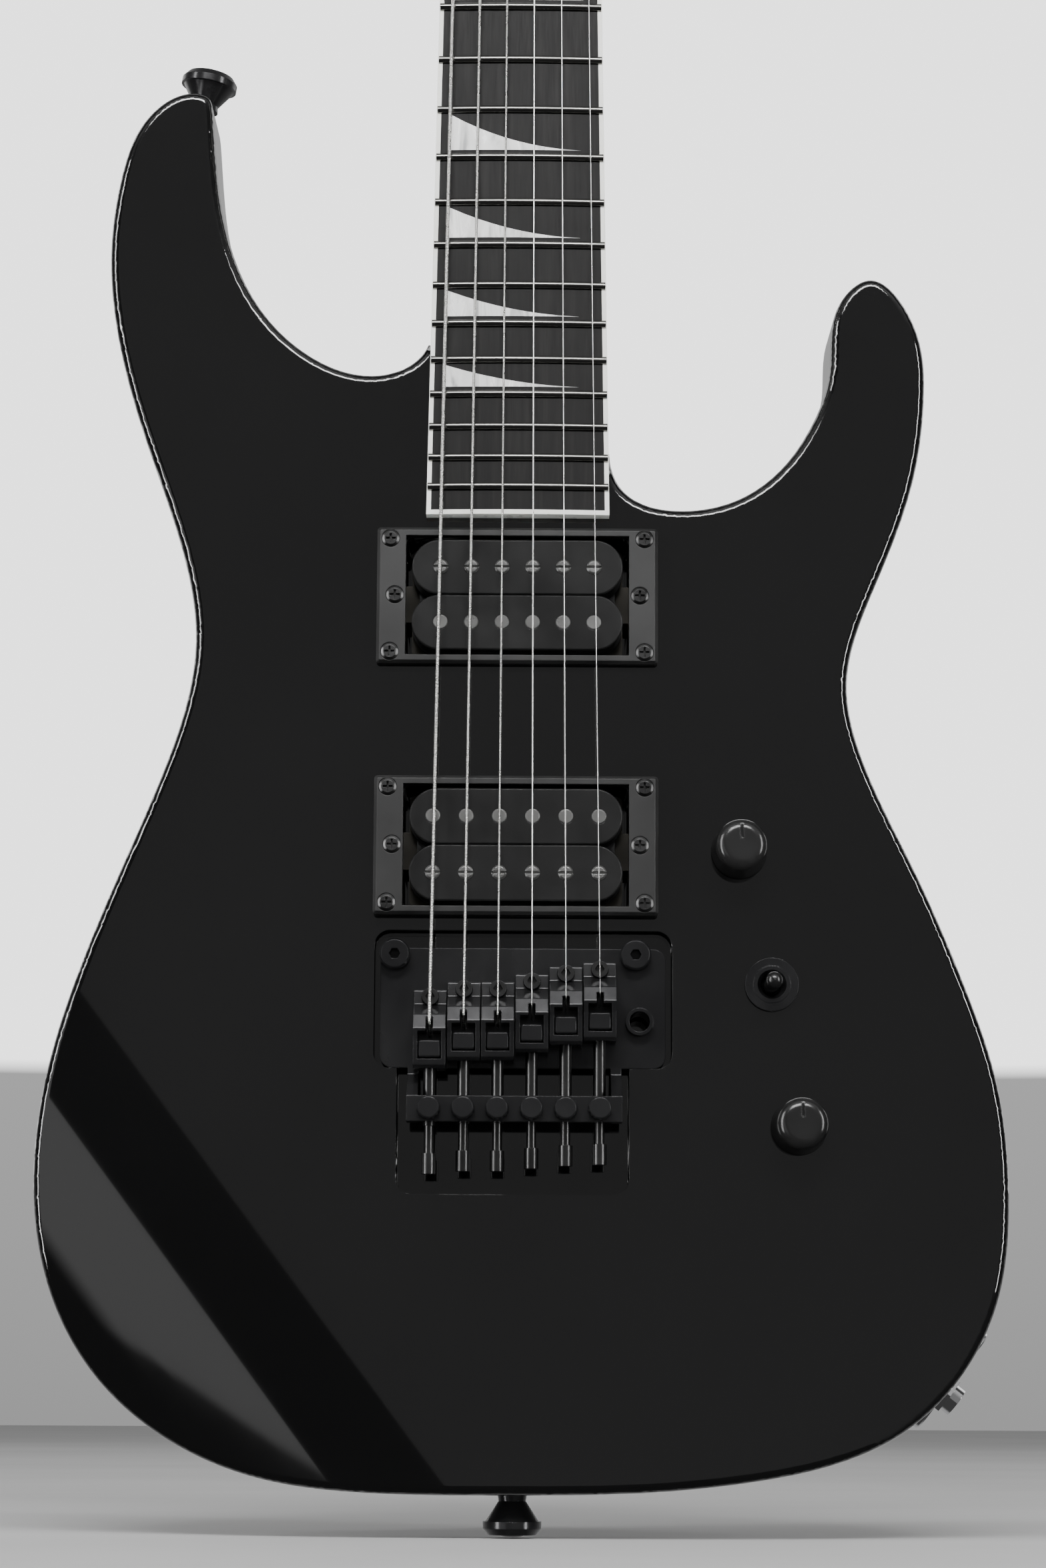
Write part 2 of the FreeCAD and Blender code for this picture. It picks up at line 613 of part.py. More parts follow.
def head_holes():
    tools = [
        box(8.4, 26, 20, (0, 30, -6.5)),
        rod("screw_shank", 8, (0, 48.5, -8)),
        rod("screw_shank", 8, (-6, 20, -8)),
        rod("screw_shank", 8, (6, 20, -8)),
    ]
    for side in (-1, 1):
        tools.append(rod("screw_shank", 10, (f"{side} * bar_screw_wide / 2", "bar_ahead", -10)))
    for number in range(STRINGS):
        tools.append(rod("bushing_radius", 30, (post_x(number), post_y(number), -20)))
        tools.append(lug_screw_hole(number))
    return in_head(*tools)


# ---------------------------------------------------------------- wood

def board_plan(inset, start, end):
    """The fretboard's plan with its two sides and its end moved in by the inset."""
    near = board_wide(start) / 2 - inset
    far = board_wide(end) / 2 - inset
    return polygon([(-near, start + inset), (near, start + inset), (far, end), (-far, end)])


def crown():
    """The cylinder that the fretboard's top belongs to."""
    return rod("board_radius", 540, (0, ahead(140), f"{TOP} + board_thick - board_radius"),
               Rotation(Vector(1, 0, 0), -90))


def fret_y(number):
    return size("scale_length") * 2 ** (-number / 12)


def fret_arc(name, points, bow, wide):
    """A fret's bead or tang, turned about the fretboard's own axis."""
    body = doc.addObject("PartDesign::Body", name)
    sketch = new_sketch(body, "YZ_Plane")
    corners = [Vector(x, y, 0) for x, y in points]
    for here, there in zip(corners, corners[1:]):
        sketch.addGeometry(Part.LineSegment(here, there), False)
    if bow:
        sketch.addGeometry(Part.Arc(corners[-1], Vector(bow[0], bow[1], 0), corners[0]), False)
    else:
        sketch.addGeometry(Part.LineSegment(corners[-1], corners[0]), False)
    turned = body.newObject("PartDesign::Revolution", "turned")
    turned.Profile = sketch
    turned.ReferenceAxis = (sketch, ["H_Axis"])
    turned.Midplane = True
    turned.Angle = 2 * math.degrees(math.asin(wide / 2 / size("board_radius")))
    return body


def make_fretboard():
    start = size("board_end_ahead")
    end = size("scale_length")
    inset = size("binding_wide")
    radius = size("board_radius")
    half = size("fret_wide") / 2
    tang = size("tang_wide") / 2
    deep = size("tang_deep")
    beads = []
    tangs = []
    slots = []
    for number in range(1, FRETS + 1):
        middle = fret_y(number)
        at = (0, ahead(middle), f"{TOP} + board_thick - board_radius")
        wide = board_wide(middle)
        bead = fret_arc("bead", [(half, radius), (-half, radius)], (0, radius + size("fret_tall")), wide - 0.6)
        beads.append(place(bead, at))
        for high, across, made in ((radius, wide - 2 * inset - 0.4, tangs), (radius + 1, wide + 6, slots)):
            shape = [(-tang, radius - deep), (tang, radius - deep), (tang, high), (-tang, high)]
            made.append(place(fret_arc("tang", shape, None, across), at))
    inlays = [profile(inlay_outline(number), "inlay_thick + 1",
                      (0, "bridge_line", f"{TOP} + board_thick - inlay_thick - 0.6"))
              for number in INLAY_SPACES]
    blank = profile(board_plan(inset, start, end), "board_thick + 1", (0, "bridge_line", TOP))
    board = cut(common(blank, crown()), *slots, *inlays)
    node("fretboard", board)
    whole = profile(board_plan(0, start, end), "board_thick + 1", (0, "bridge_line", TOP))
    core = profile(board_plan(inset, start, end + 1), "board_thick + 3", (0, "bridge_line", f"{TOP} - 1"))
    edging = common(cut(whole, core), crown())
    node("fretboard_binding", edging)
    node("fretboard_inlays", common(group(*inlays), crown()))
    node("frets", *[fuse(bead, tang) for bead, tang in zip(beads, tangs)])


def inlay_outline(number):
    """A curved triangle: straight beside the fret nearer the body, swept to a point at the treble end."""
    low = fret_y(number) + 2.4
    high = fret_y(number - 1) - 1.8
    reach = board_wide(low) / 2 - 3.4
    bass = Vector(1.6 - reach, low, 0)
    peak = Vector(1.6 - reach, high, 0)
    point = Vector(reach, low, 0)
    sag = Vector(-reach * 0.22, low + (high - low) * 0.36, 0)
    return [Part.LineSegment(point, bass), Part.LineSegment(bass, peak), Part.Arc(peak, sag, point)]


def make_wood():
    """The through neck and the two body wings, cut from one outline."""
    blank = body_blank()
    strip = box("core_wide", 600, "body_thick + 2", (0, ahead(0), f"{BACK} - 1"))
    holes = pickup_holes() + tremolo_holes() + control_holes() + edge_holes()
    middle = common(blank, strip)
    truss_hole = box("truss_wide", "truss_long", "truss_tall",
                     (0, ahead("scale_length - truss_long / 2 + 10"), f"{TOP} - truss_tall"))
    truss_way = rod("truss_nut_radius + 0.3", 44, (0, ahead("scale_length + 2"), f"{TOP} - truss_tall / 2"),
                    Rotation(Vector(1, 0, 0), -90))
    neck = fuse(middle, neck_length(HEEL_SECTIONS, False), neck_length(SHAFT_SECTIONS, True), headstock())
    node("neck_core", cut(neck, *holes, head_holes(), truss_hole, truss_way))
    for name, side in (("body_wing_bass", -1), ("body_wing_treble", 1)):
        half = box(200, 600, "body_thick + 2", (f"{side} * (core_wide / 2 + 100)", ahead(0), f"{BACK} - 1"))
        node(name, cut(common(blank, half), *holes))


# ---------------------------------------------------------------- screws

def hexagon(radius, tall, at):
    prism = doc.addObject("Part::Prism", "hexagon")
    prism.Polygon = 6
    prism.setExpression("Circumradius", formula(radius))
    prism.setExpression("Height", formula(tall))
    return place(prism, at)


def cap_screw(at, head, head_tall, shank, shank_long, turn=None):
    """A socket-head screw whose head sits on the point given."""
    blank = stack((0, 0, f"-({shank_long})"), (shank, shank, shank_long), (head, head, head_tall))
    socket = hexagon(f"({head}) * 0.58", f"({head_tall}) * 0.7 + 0.01", (0, 0, f"({head_tall}) * 0.3"))
    return place(group(cut(blank, socket)), at, turn)


def wood_screw(at, turn=None, long="screw_long"):
    """A cross-head screw with a countersunk head, its rim level with the point given."""
    blank = stack((0, 0, f"-({long}) - screw_head_tall"), ("screw_shank", "screw_shank", long),
                  ("screw_shank", "screw_head", "screw_head_tall"), ("screw_head", "screw_head * 0.7", 0.5))
    arms = [box("screw_head * 1.1", 0.7, 2, (0, 0, -0.6)), box(0.7, "screw_head * 1.1", 2, (0, 0, -0.6))]
    return place(group(cut(blank, *arms)), at, turn)


def countersink(at, turn=None):
    """Room for a wood screw's head and shank, its mouth level with the point given."""
    room = stack((0, 0, "-screw_long - screw_head_tall"), ("screw_shank", "screw_shank", "screw_long"),
                 ("screw_shank", "screw_head", "screw_head_tall"), ("screw_head", "screw_head", 1))
    return place(group(room), at, turn)


FLIPPED = Rotation(Vector(1, 0, 0), 180)


# ---------------------------------------------------------------- headstock fittings

def tuner_turn():
    """The tuners are set square to the line of the posts."""
    step = size("nut_spread") / 5
    return Rotation(Vector(0, 0, 1), -math.degrees(math.atan2(step, size("post_pitch"))))


def at_tuner(number, *pieces):
    """Move pieces from a tuner's own place, post on the z axis and key along -x, to the headstock."""
    return place(group(*pieces), (post_x(number), post_y(number), 0), tuner_turn())


def lug_screw_hole(number):
    return at_tuner(number, rod("screw_shank", 9, (10.5, -6.5, "-head_thick - 0.01")))


def make_tuners():
    low = "(-head_thick - housing_tall)"
    axle = "(-head_thick - 5)"
    sideways = Rotation(Vector(0, 1, 0), -90)
    housings = []
    bushings = []
    for number in range(STRINGS):
        case = fuse(slab("housing_wide", "housing_long", "housing_tall", (-2, 2, low), "edge_round",
                         "binding_wide", under=True),
                    rod(3.4, 2, (10.5, -6.5, "-head_thick - 2")), box(8, 6, 2, (6, -6, "-head_thick - 2")))
        room = group(rod("wheel_radius + 0.35", 8, (0, 0, "-head_thick - 7.9")),
                     rod("worm_radius + 0.35", 16, (6.5, "worm_offset", axle), sideways),
                     box(16, "worm_radius * 2 + 0.7", 6, (-1.5, "worm_offset", axle)),
                     rod("key_bore", 10, (-8, "worm_offset", axle), sideways),
                     rod("screw_shank", 10, (10.5, -6.5, "-head_thick - 5")))
        housings.append(at_tuner(number, cut(case, room)))
        bushing = cut(stack((0, 0, -8), ("bushing_radius", "bushing_radius", 8),
                            ("bushing_flange", "bushing_flange", "bushing_tall - 0.6"),
                            ("bushing_flange", "bushing_flange - 0.8", 0.6)),
                      rod("bushing_bore", 30, (0, 0, -15)))
        bushings.append(at_tuner(number, bushing))
        post = cut(stack((0, 0, "-head_thick - 7"), ("wheel_radius", "wheel_radius", 4),
                         ("post_radius", "post_radius", "head_thick + 6"),
                         ("post_radius", "waist_radius", 1), ("waist_radius", "waist_radius", 5),
                         ("waist_radius", "post_radius", 1), ("post_radius", "post_radius", 2.5),
                         ("post_radius", "post_radius - 0.8", 0.8)),
                   rod(0.8, 10, (5, 0, 7), sideways))
        node(f"tuner_post_{number + 1}", at_tuner(number, post), bench=UPRIGHT * HEAD)
        worm = fuse(rod("worm_radius", 14, (5.5, "worm_offset", axle), sideways),
                    rod("key_shaft_radius", 14, (-8, "worm_offset", axle), sideways),
                    rod("key_shaft_radius + 1.4", 3, (-13, "worm_offset", axle), sideways),
                    tuner_button(("-22.5", "worm_offset", f"{axle} - button_thick / 2")))
        node(f"tuner_key_{number + 1}", at_tuner(number, worm), bench=UPRIGHT * HEAD)
    node("tuner_housings", *housings, bench=UPRIGHT * HEAD)
    node("tuner_bushings", *bushings, bench=UPRIGHT * HEAD)


def tuner_button(at):
    """A flat oval finger button with rounded rims."""
    body = doc.addObject("PartDesign::Body", "button")
    sketch = new_sketch(body)
    draw_rectangle(sketch, "button_long", "button_wide")
    thick = pad(body, sketch, "button_thick")
    doc.recompute()
    ends = dress(body, "Fillet", thick, edges_where(thick.Shape, upright), "button_wide / 2 - 0.2")
    dress(body, "Fillet", ends, edges_where(ends.Shape, lambda e: e.BoundBox.ZLength < 0.01),
          "button_thick / 3")
    return place(body, at)


def make_nut():
    pads = [slab("clamp_wide", "clamp_long + 1", "nut_tall - nut_base_tall",
                 (f"{n} * clamp_pitch", f"{NUT} + clamp_long / 2 + 1.5", f"{TOP} + nut_base_tall"), 0.5)
            for n in (-1, 0, 1)]
    base = slab("nut_wide", "nut_long", "nut_base_tall", (0, f"{NUT} + nut_long / 2", TOP), 0.8, 0.5)
    holes = []
    clamps = []
    screws = []
    for n, pair in ((-1, 0), (0, 2), (1, 4)):
        middle = (f"{n} * clamp_pitch", f"{NUT} + clamp_long / 2 + 1.5")
        seat = f"({TOP} + nut_tall + {max(GAUGES[pair:pair + 2])} + 0.1)"
        block = slab("clamp_wide", "clamp_long", "clamp_tall", (*middle, seat), 1.5, 0.8)
        room = group(rod(1.9, 12, (*middle, f"{seat} - 2")),
                     rod(3.7, 12, (*middle, f"{seat} + clamp_tall - 2.6")))
        clamps.append(cut(block, room))
        screws.append(cap_screw((*middle, f"{seat} + clamp_tall - 2.6"), 3.5, 3.2, 1.8, "clamp_tall + 3"))
        holes.append(rod(1.8, 12, (*middle, f"{seat} - 5.6")))
    node("locking_nut", cut(fuse(base, *pads), *holes))
    node("nut_clamps", *clamps)
    node("nut_clamp_screws", *screws)


def make_head_fittings():
    bar = cut(rod("bar_radius", "bar_wide", ("-bar_wide / 2", "bar_ahead", "bar_tall + bar_radius"),
                  Rotation(Vector(0, 1, 0), 90)),
              *[rod("screw_shank", 20, (f"{side} * bar_screw_wide / 2", "bar_ahead", -5)) for side in (-1, 1)],
              *[rod("screw_head", 6, (f"{side} * bar_screw_wide / 2", "bar_ahead",
                                      "bar_tall + bar_radius + 0.6"))
                for side in (-1, 1)])
    sleeves = [cut(rod(2.2, "bar_tall + 0.6", (f"{side} * bar_screw_wide / 2", "bar_ahead", 0)),
                   rod("screw_shank", 10, (f"{side} * bar_screw_wide / 2", "bar_ahead",
                                           -1))) for side in (-1, 1)]
    node("string_retainer_bar", fuse(bar, *sleeves), bench=UPRIGHT * HEAD)
    cover = profile(rounded([(-9, 16.6), (9, 16.6), (4.5, 52), (-4.5, 52)], 2.5), 1.6)
    places = ((0, 48.5), (-6, 20), (6, 20))
    node("truss_rod_cover", cut(cover, *[countersink((x, y, 1.6)) for x, y in places]), bench=UPRIGHT * HEAD)
    screws = [wood_screw((x, y, 1.6), long=7) for x, y in places]
    for side in (-1, 1):
        screws.append(cap_screw((f"{side} * bar_screw_wide / 2", "bar_ahead", "bar_tall + bar_radius + 0.6"),
                                "screw_head - 0.3", 2.4, "screw_shank", "bar_tall + bar_radius + 9"))
    for number in range(STRINGS):
        screw = stack((0, 0, "-head_thick - 3.4"), ("screw_head - 1", "screw_head", 1.4),
                      ("screw_shank", "screw_shank", 10))
        screws.append(at_tuner(number, place(group(screw), (10.5, -6.5, 0))))
    node("headstock_screws", *screws, bench=UPRIGHT * HEAD)
    rod_body = fuse(box("truss_wide - 0.4", "truss_long - 2", "truss_tall - 0.2",
                        (0, ahead("scale_length - truss_long / 2 + 10"), f"{TOP} - truss_tall + 0.1")),
                    place(group(cut(rod("truss_nut_radius", "truss_nut_long", (0, 0, 0)),
                                    hexagon(2.4, 6, (0, 0, "truss_nut_long - 5")))),
                          (0, ahead("scale_length + 8.5"), f"{TOP} - truss_tall / 2"),
                          Rotation(Vector(1, 0, 0), -90)))
    node("truss_rod", rod_body)


# ---------------------------------------------------------------- strings

def string_route(number):
    """A string's bends: the saddle's clamp, the saddle, the nut's far edge, the retainer bar, the post."""
    radius = GAUGES[number] / 2
    top = size("body_thick") / 2
    bridge = size("bridge_line")
    nut = bridge + size("scale_length")
    share = number / (STRINGS - 1) - 0.5
    at_bridge = size("bridge_spread") * share
    at_nut = size("nut_spread") * share
    contact = bridge + WITNESS[number]
    on_nut = top + size("nut_tall") + radius
    under_bar = HEAD.multVec(Vector(at_nut, size("bar_ahead"), size("bar_tall") - radius - 0.35))
    on_post = HEAD.multVec(Vector(at_nut, size("first_post") + number * size("post_pitch"), WIND_HEIGHT))
    return [Vector(at_bridge, contact - 3.8, top + 4.5),
            Vector(at_bridge, contact, top + size("string_tall")),
            Vector(at_nut, nut + size("nut_long"), on_nut),
            under_bar, on_post]


WIND_HEIGHT = 7.6                                     # of the winding above the headstock's face
WIND_STEPS = 14


def winding_points(number):
    """One turn round the post's waist, a little clear of it and falling by the string's own thickness."""
    thick = GAUGES[number]
    radius = size("waist_radius") + thick / 2 + 0.12
    share = number / (STRINGS - 1) - 0.5
    middle_x = size("nut_spread") * share - size("waist_radius") - thick / 2
    middle_y = size("first_post") + number * size("post_pitch")
    points = []
    for step in range(1, WIND_STEPS):
        turn = 2 * math.pi * step / WIND_STEPS
        points.append(HEAD.multVec(Vector(middle_x + radius * math.cos(turn),
                                          middle_y + radius * math.sin(turn),
                                          WIND_HEIGHT - 1.15 * thick * step / WIND_STEPS)))
    return points


def make_strings():
    strings = []
    for number in range(STRINGS):
        points = string_route(number) + winding_points(number)
        path = doc.addObject("Part::Polygon", "path")
        path.Nodes = points
        round_wire = doc.addObject("Part::Circle", "wire")
        round_wire.Radius = GAUGES[number] / 2
        round_wire.Placement = Placement(points[0], Rotation(Vector(0, 0, 1), points[1] - points[0]))
        string = doc.addObject("Part::Sweep", "string")
        string.Sections = [round_wire]
        string.Spine = (path, [f"Edge{n}" for n in range(1, len(points))])
        string.Solid = True
        string.Transition = "Right corner"
        strings.append(string)
    node("strings", *strings)


# ---------------------------------------------------------------- pickups

def make_pickups():
    rings, bobbins, bases, magnets, pole_screws, slugs, screws = [], [], [], [], [], [], []
    for middle, tall, pitch, side in PICKUPS:
        ring_top = f"({TOP} + {tall})"
        top = f"({ring_top} + bobbin_proud)"
        foot = f"({top} - bobbin_tall)"
        base = f"({foot} - magnet_tall - base_tall)"
        frame = slab("ring_wide", "ring_long", tall, (0, ahead(middle), TOP), 1.2, 1,
                     ("ring_window_wide", "ring_window_long"))
        corner_places = [(f"{x} * ring_screw_wide / 2", f"{ahead(middle)} + {y} * ring_screw_long / 2")
                         for x, y in CORNERS]
        height_places = [(f"{x} * height_screw_wide / 2", ahead(middle)) for x in (-1, 1)]
        rooms = [countersink((*spot, f"{ring_top} - 0.2")) for spot in corner_places + height_places]
        rings.append(cut(frame, *rooms))
        screws += [wood_screw((*spot, f"{ring_top} - 0.2"), long=f"screw_long + {tall} - screw_head_tall - 0.6")
                   for spot in corner_places]
        screws += [wood_screw((*spot, f"{ring_top} - 0.2"), long="height_screw_long") for spot in height_places]
        for row in (-1, 1):
            line = f"({ahead(middle)} + {row} * bobbin_pitch / 2)"
            poles = [(f"{pitch} * ({n} - 2.5)", line) for n in range(STRINGS)]
            is_screw = row == side
            flange = "bobbin_long / 2 - 0.05"
            form = fuse(slab("bobbin_wide", "bobbin_long", "flange_tall", (0, line, f"{top} - flange_tall"),
                             flange, 0.4),
                        slab("bobbin_core_wide", "bobbin_core_long", "bobbin_tall", (0, line, foot), 3),
                        slab("bobbin_wide", "bobbin_long", "flange_tall", (0, line, foot), flange))
            coil = cut(slab("bobbin_wide - 2 * coil_inset", "bobbin_long - 2 * coil_inset",
                            "bobbin_tall - 2 * flange_tall", (0, line, f"{foot} + flange_tall"),
                            "bobbin_long / 2 - coil_inset - 0.05"),
                       slab("bobbin_core_wide", "bobbin_core_long", "bobbin_tall", (0, line, foot), 3))
            if is_screw:
                bores = [rod("pole_shank", 40, (*spot, f"{foot} - 10")) for spot in poles]
                bores += [rod("pole_radius", 4, (*spot, f"{top} - 1.4")) for spot in poles]
                for spot in poles:
                    screw = stack((0, 0, "-pole_screw_long"), ("pole_shank", "pole_shank", "pole_screw_long"),
                                  ("pole_radius", "pole_radius", 1.6),
                                  ("pole_radius", "pole_radius * 0.75", 0.5))
                    slotted = cut(screw, box("pole_radius * 3", 0.8, 2, (0, 0, 1.1)))
                    pole_screws.append(place(group(slotted), (*spot, f"{top} - 1.4")))
            else:
                bores = [rod("pole_radius", 40, (*spot, f"{foot} - 10")) for spot in poles]
                slugs += [stack((*spot, f"{foot} - magnet_tall"),
                                ("pole_radius", "pole_radius", "bobbin_tall + magnet_tall"),
                                ("pole_radius", "pole_radius - 0.3", 0.3)) for spot in poles]
            bobbins += [cut(form, *bores), coil]
            if is_screw:
                screw_bores = [rod("pole_shank", 12, (*spot, f"{base} - 4")) for spot in poles]
        plate = fuse(slab("base_wide", "base_long", "base_tall", (0, ahead(middle), base), 2),
                     slab("ear_wide", "ear_long", "base_tall", (0, ahead(middle), base), 2))
        ear_bores = [rod("screw_shank", 12, (*spot, f"{base} - 4")) for spot in height_places]
        bases.append(cut(plate, *screw_bores, *ear_bores))
        magnets.append(box("magnet_wide", "magnet_long", "magnet_tall",
                           (0, ahead(middle), f"{foot} - magnet_tall")))
    node("pickup_rings", *rings)
    node("pickup_bobbins", *bobbins)
    node("pickup_base_plates", *bases)
    node("pickup_magnets", *magnets)
    node("pickup_pole_screws", *pole_screws)
    node("pickup_pole_slugs", *slugs)
    node("pickup_ring_screws", *screws)


# ---------------------------------------------------------------- tremolo

def side_profile(points, wide, at, radius=0.6):
    """A prism with its outline seen from the treble side: (distance up the neck, height)."""
    body = doc.addObject("PartDesign::Body", "side_cut")
    sketch = new_sketch(body, "YZ_Plane")
    for curve in rounded(points, radius) if radius else polygon(points):
        sketch.addGeometry(curve, False)
    thick = pad(body, sketch, wide)
    thick.Midplane = True
    return place(body, at)


SADDLE = ((11, 0), (11, 2.4), (6.2, 3), (2.4, 11), (-2.2, 12.9), (-5.5, 12), (-13.4, 11),
          (-14.5, 9.8), (-14.5, 0))                   # ahead of the contact point, above the base plate


def lock_end(number):
    """Where a string-lock screw's head ends behind the bridge line."""
    return -56.5 + 0.35 * (WITNESS[number] + 6.5)


def make_tremolo():
    high = PLATE_TOP
    low = f"({TOP} - plate_low)"
    backward = Rotation(Vector(1, 0, 0), 90)
    lock_level = f"({TOP} + lock_high)"
    saddles, locks, inton, plate_holes, tuner_bores = [], [], [], [], []
    for number in range(STRINGS):
        x = string_x(number, "bridge_spread")
        contact = WITNESS[number]
        seat = -GAUGES[number] / 2 - 0.06
        foot_screw = (x, ahead(contact + 8.6))
        blank = side_profile(SADDLE, "saddle_wide", (x, ahead(contact), high))
        notch = box(2.2, 30, 8, (x, ahead(contact), f"{TOP} + string_tall + {seat}"))
        room = box(7.4, 8.6, 12, (x, ahead(contact - 7.3), f"{high} + 3"))
        fall = box(2.2, 5.4, 14, (x, ahead(contact - 2.2), f"{high} + 3"))
        foot = group(rod(1.5, 12, (*foot_screw, f"{high} - 2")), rod(2.7, 12, (*foot_screw, f"{high} + 2.3")))
        saddles.append(cut(blank, notch, fall, room, foot,
                           rod("lock_shaft", 20, (x, ahead(contact - 8), lock_level), backward)))
        saddles.append(slab(7, 5.4, 8.4, (x, ahead(contact - 8.4), f"{high} + 3"), 0.8, 0.4))
        inton.append(cap_screw((*foot_screw, f"{high} + 2.3"), 2.6, 2.6, 1.5, "2.3 + plate_thick"))
        plate_holes.append(rod(1.5, 12, (*foot_screw, f"{low} - 2")))
        reach = contact - 11.3 - lock_end(number)
        screw = cut(stack((0, 0, 0), ("lock_shaft", "lock_shaft", f"{reach} - 15"),
                          ("lock_tail", "lock_tail", 8.6), ("lock_head", "lock_head", 6.4)),
                    hexagon(1.3, 4, (0, 0, f"{reach} - 3")))
        locks.append(place(group(screw), (x, ahead(contact - 11.3), lock_level), backward))
        tuner_place = (x, ahead("-tuner_bar_behind"))
        tuner_bores.append(rod("fine_shank + 0.05", 12, (*tuner_place, f"{TOP} + tuner_bar_low - 2")))
        make_fine_tuner(number, tuner_place)
    make_base_plate(low, plate_holes, tuner_bores)
    node("trem_saddles", *saddles)
    node("string_lock_screws", *locks)
    node("intonation_screws", *inton)
    make_block_and_springs(low)
    floor = f"({TOP} - recess_deep)"
    studs = []
    for side in (-1, 1):
        blank = stack((f"{side} * stud_spread / 2", ahead("stud_ahead"), f"{floor} - stud_deep"),
                      ("stud_thread", "stud_thread", "stud_deep"), ("stud_radius", "stud_radius", 2.3),
                      ("stud_groove", "stud_groove", 6.3), ("stud_radius", "stud_radius", 2),
                      ("stud_radius", "stud_radius - 0.6", 0.6))
        studs.append(cut(blank, hexagon(1.8, 5, (f"{side} * stud_spread / 2", ahead("stud_ahead"),
                                                 f"{TOP} - 1"))))
    node("trem_studs", *studs)


def make_base_plate(low, plate_holes, tuner_bores):
    plate = slab("plate_wide", "plate_front + plate_behind", "plate_thick",
                 ("plate_offset", ahead("(plate_front - plate_behind) / 2"), low), 4)
    notches = [rod("stud_groove + knife_gap", 10, (f"{side} * stud_spread / 2", ahead("stud_ahead"),
                                                   f"{low} - 3"))
               for side in (-1, 1)]
    mouths = [box("(stud_groove + knife_gap) * 2", 8, 10, (f"{side} * stud_spread / 2",
                                                           ahead("stud_ahead + 4"), f"{low} - 3"))
              for side in (-1, 1)]
    cheek = ((-16, -4.2), (-42, 1.5), (-42, 9.6), (-34, 9.6), (-26.5, -1.6), (-16, -1.6))
    cheeks = [side_profile(cheek, 3.4, (f"{side} * (tuner_bar_wide / 2 - 1.7)", "bridge_line", TOP))
              for side in (-1, 1)]
    bar = box("tuner_bar_wide", "tuner_bar_long", "tuner_bar_tall",
              (0, ahead("-tuner_bar_behind"), f"{TOP} + tuner_bar_low"))
    at_arm = ("arm_x", ahead("-arm_behind"))
    collar = rod("arm_collar", "arm_tube_deep + 3.4", (*at_arm, f"{low} - arm_tube_deep + plate_thick"))
    bore = rod("arm_bore", 30, (*at_arm, f"{low} - 15"))
    node("trem_base_plate", cut(fuse(plate, *cheeks, bar, collar), *notches, *mouths, *plate_holes,
                                *tuner_bores, bore))


def make_fine_tuner(number, at):
    """A knurled thumb screw that stands in the bar and bears on a string-lock screw."""
    bar_top = f"({TOP} + tuner_bar_low + tuner_bar_tall)"
    shank = f"({bar_top} - {TOP} - lock_high - lock_shaft - 0.05)"
    knob = stack((*at, f"{bar_top} - {shank}"), ("fine_shank", "fine_shank", f"{shank} + 0.2"),
                 ("fine_knob - 0.4", "fine_knob", 0.4), ("fine_knob", "fine_knob", "fine_knob_tall - 1"),
                 ("fine_knob", "fine_knob - 0.6", 0.6))
    grooves = []
    for step in range(KNURLS):
        turn = math.radians(360 * step / KNURLS)
        radius = size("fine_knob") + 0.25
        grooves.append(rod(0.5, 8, (f"{at[0]} + {radius * math.cos(turn):.4f}",
                                    f"{at[1]} + {radius * math.sin(turn):.4f}", f"{bar_top} + 0.2")))
    node(f"fine_tuner_{number + 1}", cut(knob, *grooves))


KNURLS = 14


def make_block_and_springs(low):
    block = slab("block_wide", "block_long", "block_tall", (0, ahead("block_ahead"), f"{low} - block_tall"),
                 1.5)
    level = f"({BACK} + spring_high)"
    along = Rotation(Vector(1, 0, 0), -90)
    front = "(block_ahead + block_long / 2)"
    springs = []
    sockets = []
    claw = fuse(box(50, 2.4, 9, (0, ahead("claw_ahead"), f"{level} - 4.5")),
                *[box(5, 6, 2.4, (f"{n} * spring_pitch", ahead("claw_ahead - 3"),
                                  f"{level} - 4.5")) for n in (-1, 0, 1)])
    for n in (-1, 0, 1):
        x = f"{n} * spring_pitch"
        coil = cut(rod("spring_radius", "spring_to - spring_from", (x, ahead("spring_from"), level), along),
                   rod("spring_bore", "spring_to - spring_from - 2", (x, ahead("spring_from + 1"), level),
                       along))
        hook = rod("spring_wire", "claw_ahead - spring_to - 1.2", (x, ahead("spring_to"), level), along)
        tail = rod("spring_wire", f"spring_from - {front} + 4", (x, ahead(f"({front} - 4)"), level), along)
        springs.append(fuse(coil, hook, tail))
        sockets.append(rod("spring_wire", 5, (x, ahead(f"({front} - 4)"), level), along))
    node("sustain_block", cut(block, *sockets))
    node("trem_springs", *springs)
    bolts = []
    bores = []
    for side in (-1, 1):
        spot = (f"{side} * spring_pitch / 2", ahead("claw_ahead - 1.2"), level)
        bolts.append(cap_screw(spot, 3.2, 2.6, "strap_screw", 33, Rotation(Vector(1, 0, 0), 90)))
        bores.append(rod("strap_screw", 10, (f"{side} * spring_pitch / 2", ahead("claw_ahead - 5"), level),
                         along))
    node("spring_claw", cut(claw, *bores), *bolts)


# ---------------------------------------------------------------- covers, controls and strap buttons

